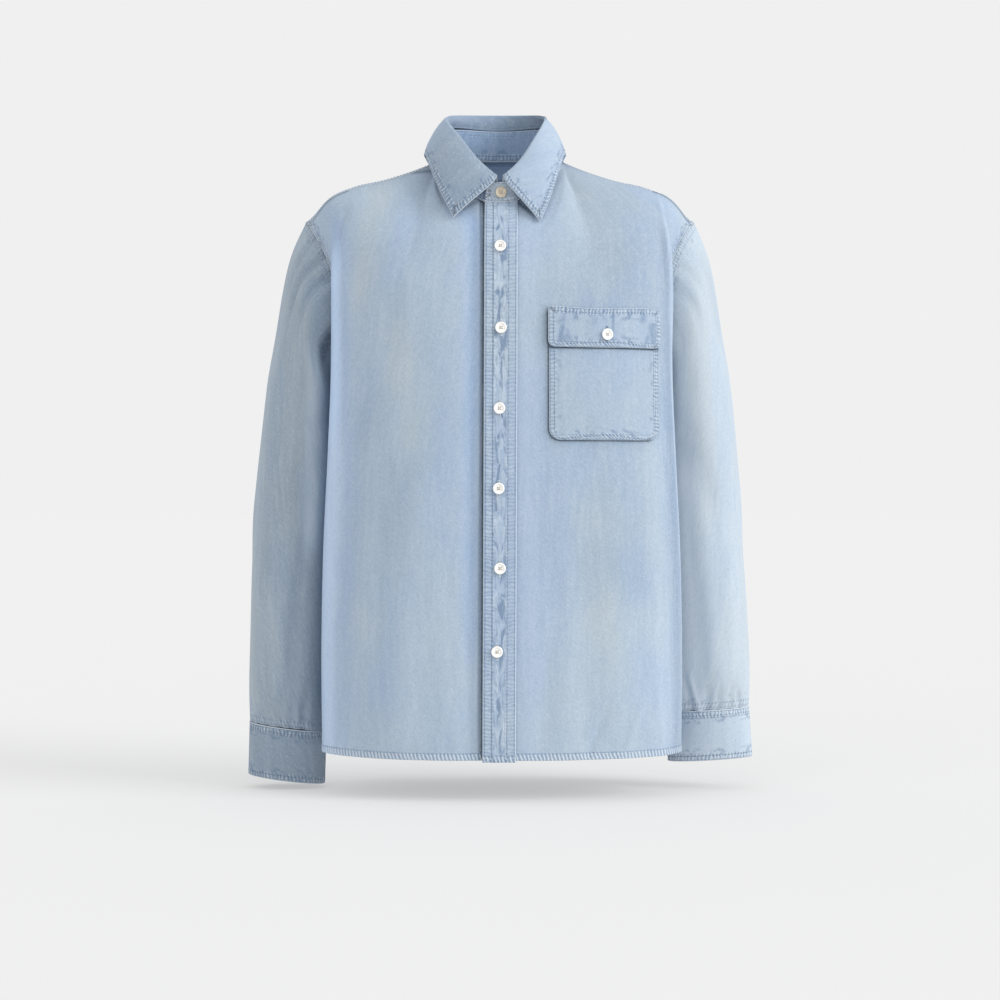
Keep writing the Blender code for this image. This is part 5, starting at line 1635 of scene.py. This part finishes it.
class SHIRT_OT_placket(bpy.types.Operator):
    """Sew the folded band of the front closing"""

    bl_idname = "shirt.placket"
    bl_label = "Front band"

    def execute(self, context):
        sizes = context.scene.shirt_cloth
        across = spaced(PLACKET_WIDE, 0.0017)
        levels = PLACKET_BOTTOM + (PLACKET_TOP - PLACKET_BOTTOM) * spaced(PLACKET_LONG, sizes.step)
        places = placket_places(across, levels)
        points, ways = FRONT.read(places, levels[:, None])
        grid = points + ways * (LAID_GAP + PLACKET_THICK)
        grid[:, :, 2] -= PLACKET_DROP * (1 - ease(levels / 0.02))[:, None]
        grid = rounded_edges(grid, ways, ("first", "last", "low"), LAID_EDGE)
        marks = marks_of(grid, {"first": 0.55, "last": 0.40}, tone=0.35, fade=0.06, hem=True)
        cloth = make_cloth("placket", "crumpled denim", grid, marks, sizes.folded)
        stitches = Stitcher("placket_stitches", "denim_trim")
        stitches.inside(grid, ways, ("first",), (0.0032, 0.0108))
        stitches.inside(grid, ways, ("last",), (0.0026, 0.0110))
        stitches.inside(grid, ways, ("low",), (HEM_ROW,))
        holes = Stitcher("buttonholes", "denim_trim")
        holes.material = finish_named("pale thread")
        for x, z in zip(BUTTON_X, BUTTON_HEIGHTS):
            buttonhole(holes, x, z, LAID_GAP + PLACKET_THICK, 0.0)
        stitches.finish()
        holes.finish()
        return {"FINISHED"}


def buttonhole(stitches, x, z, lift, station):
    """Dense stitches on both sides of an upright slit, and a bar at each end of it."""
    def beside(offset, heights):
        return FRONT.at(np.full(len(heights), x + offset), heights, lift, station)

    heights = z + np.arange(-0.0088, 0.00881, 0.00055)
    for side in (-1.0, 1.0):
        inner, ways = beside(side * 0.0002, heights)
        outer, _ = beside(side * 0.0017, heights)
        stitches.stitches(inner, outer, ways, 0.00030)
    for end in (-1.0, 1.0):
        row = z + end * np.array((0.0090, 0.0095))
        left, ways = beside(-0.0018, row)
        right, _ = beside(0.0018, row)
        stitches.stitches(left, right, ways, 0.00034)


def rounded_patch(x, z, corner, step, closer=()):
    """Places and heights of a patch with rounded lower corners, with closer rows at some."""
    rise = corner * np.array((0.0, 0.02, 0.06, 0.12, 0.2, 0.3, 0.42, 0.56, 0.72, 0.88, 1.0))
    count = int((z[1] - z[0] - corner) / step)
    upper = np.linspace(z[0] + corner, z[1], count + 1)[1:]
    near = z[1] - np.array(NEAR_EDGE)
    heights = np.unique(np.concatenate((z[0] + rise, upper, near, closer)))
    inset = np.clip(corner - (heights - z[0]), 0.0, corner)
    inset = corner - np.sqrt(corner ** 2 - inset ** 2)
    shares = spaced(x[1] - x[0], step)
    places = x[0] + inset[:, None] + (x[1] - x[0] - 2 * inset[:, None]) * shares[None, :]
    return places, heights


def stitched_outline(x, z, corner, offset, closed=False):
    """Places of a stitch row inside a patch: down one side, round the corners and up the other."""
    radius = max(corner - offset, 0.0015)
    left, right = x[0] + offset, x[1] - offset
    low, high = z[0] + offset, z[1] - (offset if closed else 0.0005)
    turn = np.linspace(0.0, pi / 2, 9)
    corner_left = np.stack((left + radius - radius * np.cos(turn),
                            low + radius - radius * np.sin(turn)), axis=1)
    corner_right = np.stack((right - radius + radius * np.sin(turn),
                             low + radius - radius * np.cos(turn)), axis=1)
    down = np.stack((np.full(30, left), np.linspace(high, low + radius, 30)), axis=1)
    bottom = np.stack((np.linspace(left + radius, right - radius, 40), np.full(40, low)), axis=1)
    rise = np.stack((np.full(30, right), np.linspace(low + radius, high, 30)), axis=1)
    parts = [down, corner_left, bottom[1:-1], corner_right, rise]
    if closed:
        parts.append(np.stack((np.linspace(right, left, 40), np.full(40, high)), axis=1))
    return np.concatenate(parts)


def flap_under(heights):
    """How much further out the flap lies where the pocket is under it."""
    return (LAID_GAP + SOLID_WALL) * ease((POCKET_Z[1] - heights) / FLAP_STEP + 1.2)


class SHIRT_OT_pocket(bpy.types.Operator):
    """Sew the chest pocket and its flap"""

    bl_idname = "shirt.pocket"
    bl_label = "Pocket"

    def execute(self, context):
        sizes = context.scene.shirt_cloth
        self.pocket(sizes)
        self.flap(sizes)
        return {"FINISHED"}

    def pocket(self, sizes):
        lift = LAID_GAP + SOLID_WALL
        closer = FLAP_Z[0] - np.array((0.0002, 0.0010, 0.0018, 0.0026, 0.0036))
        places, heights = rounded_patch(POCKET_X, POCKET_Z, POCKET_CORNER, sizes.step * 0.75,
                                        closer)
        points, ways = FRONT.at(places, np.broadcast_to(heights[:, None], places.shape), lift)
        grid = rounded_edges(points, ways, ("first", "last", "low"), LAID_EDGE)
        sewn = {"first": 0.6, "last": 0.8, "low": 1.0}
        # painted shadow under the flap's lower edge
        below = np.maximum(FLAP_Z[0] - heights, 0.0)[:, None]
        marks = marks_of(grid, sewn, tone=0.25, fade=-0.06 - contact_shade(below, *FLAP_SHADE))
        cloth = make_cloth("pocket", "banded denim", grid, marks, POCKET_CLOTH,
                           centre=grid.shape[1] // 2)
        stitches = Stitcher("pocket_stitches", "denim_trim")
        for offset in (TRIM_ROW, LAID_ROW):
            x, z = stitched_outline(POCKET_X, POCKET_Z, POCKET_CORNER, offset).T
            stitches.seam(*FRONT.at(x, z, lift))
        stitches.finish()

    def flap(self, sizes):
        lift = LAID_GAP + DOUBLED
        places, heights = rounded_patch(FLAP_X, FLAP_Z, FLAP_CORNER, sizes.step * 0.7)
        under = (lift + flap_under(heights))[:, None]
        points, ways = FRONT.at(places, np.broadcast_to(heights[:, None], places.shape), under)
        grid = rounded_edges(points, ways, ("first", "last", "low", "high"), LAID_EDGE)
        across = (places - FLAP_X[0]) / (FLAP_X[1] - FLAP_X[0])
        rows = (heights[:, None] - FLAP_Z[0]) / (FLAP_Z[1] - FLAP_Z[0])
        kept = fold_heights(across, rows, FLAP_WASH)
        sewn = {"first": 0.6, "last": 0.8, "low": 1.0, "high": 1.0}
        marks = marks_of(grid, sewn, tone=0.30 + 0.6 * kept, fade=-0.04 - 0.42 * kept)
        cloth = make_cloth("pocket_flap", "banded denim", grid, marks, sizes.doubled,
                           centre=grid.shape[1] // 2)
        stitches = Stitcher("flap_stitches", "denim_trim")
        x, z = stitched_outline(FLAP_X, FLAP_Z, FLAP_CORNER, LAID_ROW, closed=True).T
        stitches.seam(*FRONT.at(x, z, lift + flap_under(z)))
        x = np.linspace(FLAP_X[0] + 0.001, FLAP_X[1] - 0.001, 40)
        z = np.full(40, FLAP_Z[1] - TRIM_ROW)
        stitches.seam(*FRONT.at(x, z, lift + flap_under(z)))
        buttonhole(stitches, *POCKET_BUTTON, lift + LAID_GAP + SOLID_WALL, LEVEL_STATION)
        stitches.finish()


class SHIRT_OT_collar(bpy.types.Operator):
    """Sew the stand and the leaf of the collar"""

    bl_idname = "shirt.collar"
    bl_label = "Collar"

    def execute(self, context):
        sizes = context.scene.shirt_cloth
        self.stand(sizes)
        self.leaf(sizes)
        return {"FINISHED"}

    def stand(self, sizes):
        shares = spaced(STAND_LONG, sizes.step)
        turn = STAND_UNDER_END + (STAND_UPPER_END - STAND_UNDER_END) * shares
        rows = spaced(STAND_TALL, sizes.step * 0.75)
        grid = draw_in(stand_points(turn, rows), ("low", "high"))
        ways = -normals(grid)
        grid = rounded_edges(grid, ways, ("first", "last"), TRIM_EDGE)
        sewn = {"first": 0.6, "last": 1.0, "low": 0.8, "high": 0.3}
        # painted shade on the under end, where the upper end laps over it; painted light on the
        # upper end's tab, which the leaf shades; tone above 1 paints the rest in sky blue, partly
        # its own blue and partly painted light
        under = 1 - ease((turn - STAND_UNDER_END) / STAND_SHADED)[None, :]
        front = ease((turn - STAND_TAB) / 10.0)[None, :]
        fade = 0.86 * front - 0.30 - 1.20 * under
        marks = marks_of(grid, sewn, tone=1.20 - 0.60 * front, fade=fade)
        cloth = make_cloth("collar_stand", "banded denim", grid, marks,
                           sizes.doubled, flip=True)
        stitches = Stitcher("stand_stitches", "denim_trim")
        inner = grid - ways * sizes.doubled
        for side in ("low", "high"):
            stitches.inside(grid, ways, (side,), (TRIM_ROW,))
            stitches.inside(inner, -ways, (side,), (TRIM_ROW,))
        stitches.inside(grid, ways, ("last",), (TRIM_ROW,))
        stitches.finish()

    def leaf(self, sizes):
        shares = spaced(LEAF_LONG, sizes.step)
        turn = LEAF_START_ANGLE + (360.0 - 2 * LEAF_START_ANGLE) * shares
        across = even_keys(leaf_face, 0.0, 1.0, sizes.step * 0.6, (0.0005,), NEAR_EDGE,
                           (30.0, 32.0), axis=0)
        grid = draw_in(leaf_points(turn, across), ("low",))
        ways = normals(grid)
        grid = rounded_edges(grid, ways, ("first", "last", "high"), TRIM_EDGE)
        # painted shade on the rising part under the fold and on the side away from the light
        rise = 1 - ease((across - 0.24) / 0.06)[:, None]
        shaded = 1 - ease((turn - 20.0) / 90.0)[None, :]
        fade = -0.46 * rise - 0.42 * shaded * (1 - rise)
        sewn = {"first": 1.0, "last": 1.0, "low": 0.0, "high": 1.0}
        marks = marks_of(grid, sewn, tone=0.30 + 0.15 * rise, fade=fade)
        cloth = make_cloth("collar_leaf", "banded denim", grid, marks, sizes.doubled)
        stitches = Stitcher("leaf_stitches", "denim_trim")
        fall = float(np.searchsorted(across, 0.29)) / len(across)
        stitches.inside(grid, ways, ("first", "last"), (LAID_ROW,), first=fall)
        stitches.inside(grid, ways, ("high",), (LAID_ROW,), first=0.02, last=0.98)
        stitches.inside(grid, ways, ("low",), (0.0040,))
        stitches.finish()


def button_mesh():
    """A turned disc with a rolled rim, a sunk middle and four thread holes."""
    r, t = BUTTON_RADIUS, BUTTON_THICKNESS
    profile = ((0.0, BUTTON_FACE), (0.50, BUTTON_FACE), (0.62, 0.66), (0.70, 0.84),
               (0.78, 0.97), (0.86, 1.00), (0.94, 0.93), (0.985, 0.78), (1.0, 0.60),
               (0.96, 0.40), (0.84, 0.16), (0.66, 0.0), (0.0, 0.0))
    shape = bmesh.new()
    verts = [shape.verts.new((a * r, 0.0, b * t)) for a, b in profile]
    edges = [shape.edges.new(pair) for pair in zip(verts, verts[1:])]
    bmesh.ops.spin(shape, geom=verts + edges, cent=(0, 0, 0), axis=(0, 0, 1), angle=2 * pi,
                   steps=48, use_merge=True)
    bmesh.ops.remove_doubles(shape, verts=shape.verts, dist=0.00002)
    bmesh.ops.recalc_face_normals(shape, faces=shape.faces)
    mesh = bpy.data.meshes.new("button_blank")
    shape.to_mesh(mesh)
    shape.free()
    blank = placed("button_blank", mesh)
    drills = bmesh.new()
    for x in (-1.0, 1.0):
        for y in (-1.0, 1.0):
            place = Matrix.Translation((x * BUTTON_HOLE, y * BUTTON_HOLE, t / 2))
            bmesh.ops.create_cone(drills, cap_ends=True, segments=14, radius1=0.00055,
                                  radius2=0.00055, depth=2 * t, matrix=place)
    drill_mesh = bpy.data.meshes.new("button_drill")
    drills.to_mesh(drill_mesh)
    drills.free()
    drill = placed("button_drill", drill_mesh)
    cut = blank.modifiers.new("holes", "BOOLEAN")
    cut.operation = "DIFFERENCE"
    cut.solver = "EXACT"
    cut.object = drill
    graph = bpy.context.evaluated_depsgraph_get()
    drilled = bpy.data.meshes.new_from_object(blank.evaluated_get(graph))
    drilled.shade_smooth()
    for item in (blank, drill):
        bpy.data.objects.remove(item, do_unlink=True)
    drilled.materials.clear()
    drilled.materials.append(finish_named("cream resin"))
    return drilled


class SHIRT_OT_buttons(bpy.types.Operator):
    """Turn the buttons and sew them on"""

    bl_idname = "shirt.buttons"
    bl_label = "Buttons"

    def execute(self, context):
        mesh = button_mesh()
        thread = Sewing("button_threads", finish_named("button thread"), "button")
        for number, (x, z) in enumerate(zip(BUTTON_X, BUTTON_HEIGHTS), start=1):
            point, way = FRONT.at(np.array((x,)), np.array((z,)), LAID_GAP + PLACKET_THICK, 0.0)
            self.sew(mesh, thread, f"button_{number}", point[0], way[0], BUTTON_LIFT)
        lift = 2 * LAID_GAP + SOLID_WALL + DOUBLED
        point, way = FRONT.at(np.array(POCKET_BUTTON[:1]), np.array(POCKET_BUTTON[1:]), lift)
        self.sew(mesh, thread, "button_pocket", point[0], way[0], BUTTON_LIFT)
        turn, row = COLLAR_BUTTON
        middle = stand_points(np.array((turn,)), np.array((row,)))[0, 0]
        way = np.array((0.0, -1.0, BUTTON_TILT))
        beige = mesh.copy()
        beige.materials.clear()
        beige.materials.append(finish_named("beige resin"))
        self.sew(beige, thread, "button_collar", middle, way, 2 * BUTTON_LIFT)
        lap = CUFF_LAP_ANGLE + 360.0
        for side, sign, rings, edge in SIDES:
            middle = cuff_points(np.array((lap,)), np.array((0.5,)), rings, edge, sign)[0, 0]
            way = np.array((sign * cos(radians(lap)), -sin(radians(lap)), 0.0))
            self.sew(mesh, thread, "button_cuff_" + side, middle, way, 3 * BUTTON_LIFT)
        thread.finish()
        return {"FINISHED"}

    def sew(self, mesh, thread, name, point, way, lift):
        """Put a button on the cloth and cross its thread over the face, hole to hole."""
        way = Vector(way).normalized()
        button = placed(name + "_turned", mesh)
        button.location = Vector(point) + way * lift
        button.rotation_euler = way.to_track_quat("Z", "Y").to_euler()
        bpy.context.view_layer.update()
        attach(button, BODY)
        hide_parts(name)
        place = button.matrix_world
        top = BUTTON_FACE * BUTTON_THICKNESS + 0.00025
        starts, stops = [], []
        for turn, rise in ((1.0, 0.0), (-1.0, 0.0004)):
            for shift in (-0.00028, 0.00028):
                for end, points in ((-0.0012, starts), (0.0012, stops)):
                    spot = Vector((end + shift, (end - shift) * turn, top + rise))
                    points.append(place @ spot)
        ways = np.array([list(way)] * len(starts))
        thread.stitches(np.array(starts), np.array(stops), ways, 0.00030)


class SHIRT_OT_stage(bpy.types.Operator):
    """Set up the floor, the lights and the camera"""

    bl_idname = "shirt.stage"
    bl_label = "Stage"

    def execute(self, context):
        sizes = context.scene.shirt_stage
        floor_mesh = bpy.data.meshes.new("floor")
        shape = bmesh.new()
        bmesh.ops.create_grid(shape, x_segments=2, y_segments=2, size=40.0)
        shape.to_mesh(floor_mesh)
        shape.free()
        floor = placed("floor", floor_mesh)
        floor.location = (0.0, 0.0, sizes.floor)
        finish = Finish("pale floor")
        grain = finish.noise(finish.node("ShaderNodeNewGeometry", output=0), 3.0, 2.0)
        shade = finish.mix(grain, (FLOOR_GREY,) * 3, (FLOOR_GREY + 0.004,) * 3)
        floor_mesh.materials.append(finish.surface(
            shade, 0.9, Specular_IOR_Level=0.0, Emission_Color=(FLOOR_GLOW,) * 3,
            Emission_Strength=1.0))

        world = bpy.data.worlds.new("studio")
        context.scene.world = world
        world.use_nodes = True
        background = world.node_tree.nodes["Background"]
        background.inputs["Color"].default_value = (1.0, 1.0, 1.0, 1.0)
        background.inputs["Strength"].default_value = sizes.sky
        context.scene.view_settings.view_transform = "Standard"
        self.sun("key", 68.0, 26.0, 34.0, sizes.key)
        self.sun("fill", -25.0, 35.0, 60.0, sizes.fill)
        self.neck_lamp(sizes.inside)

        camera = placed("camera", bpy.data.cameras.new("camera"))
        camera.location = (0.0, -sizes.distance, sizes.height)
        camera.rotation_euler = (pi / 2, 0.0, 0.0)
        camera.data.sensor_width = 36.0
        camera.data.lens = sizes.lens
        context.scene.camera = camera
        return {"FINISHED"}

    def neck_lamp(self, power):
        """A narrow soft light from the front and above, down through the open neck."""
        place = Vector((0.0, -0.42, 0.40))
        light = self.lamp("inside", "SPOT", power, place, place - Vector((0.0, 0.055, -0.010)))
        light.shadow_soft_size = 0.05
        light.spot_size = radians(17.0)
        light.spot_blend = 0.6

    def sun(self, name, round_from_front, above, spread, strength):
        """A large even light from far away; its angles are in degrees."""
        a, e = radians(round_from_front), radians(above)
        back = Vector((sin(a) * cos(e), -cos(a) * cos(e), sin(e)))
        light = self.lamp(name, "SUN", strength, back * 3.0, back)
        light.angle = radians(spread)

    def lamp(self, name, kind, strength, place, back):
        """A light at its place, with its back turned the way back."""
        light = bpy.data.lights.new(name, kind)
        light.energy = strength
        lamp = placed(name, light)
        lamp.location = place
        lamp.rotation_euler = back.to_track_quat("Z", "Y").to_euler()
        return light


OPERATORS = (
    SHIRT_OT_stage, SHIRT_OT_fronts, SHIRT_OT_back, SHIRT_OT_sleeves, SHIRT_OT_cuffs,
    SHIRT_OT_placket, SHIRT_OT_pocket, SHIRT_OT_collar, SHIRT_OT_buttons,
)
SETTINGS = {
    "shirt_cloth": ShirtCloth,
    "shirt_sewing": ShirtSewing,
    "shirt_stage": ShirtStage,
}


class SHIRT_PT_pieces(bpy.types.Panel):
    """Sizes and colours of the shirt, and a button for each group of pieces"""

    bl_idname = "SHIRT_PT_pieces"
    bl_label = "Denim Shirt"
    bl_space_type = "VIEW_3D"
    bl_region_type = "UI"
    bl_category = "Shirt"

    def draw(self, context):
        for key, group in SETTINGS.items():
            box = self.layout.box()
            for name in group.__annotations__:
                box.prop(getattr(context.scene, key), name)
        for operator in OPERATORS:
            self.layout.operator(operator.bl_idname)


def register():
    for group in (*SETTINGS.values(), *OPERATORS, SHIRT_PT_pieces):
        bpy.utils.register_class(group)
    for key, group in SETTINGS.items():
        setattr(bpy.types.Scene, key, PointerProperty(type=group))


def unregister():
    for key in SETTINGS:
        delattr(bpy.types.Scene, key)
    for group in (SHIRT_PT_pieces, *OPERATORS, *SETTINGS.values()):
        bpy.utils.unregister_class(group)


def main():
    register()
    bpy.ops.shirt.stage()
    bpy.ops.shirt.fronts()
    bpy.ops.shirt.back()
    bpy.ops.shirt.sleeves()
    bpy.ops.shirt.cuffs()
    bpy.ops.shirt.placket()
    bpy.ops.shirt.pocket()
    bpy.ops.shirt.collar()
    bpy.ops.shirt.buttons()


if __name__ == "__main__":
    main()
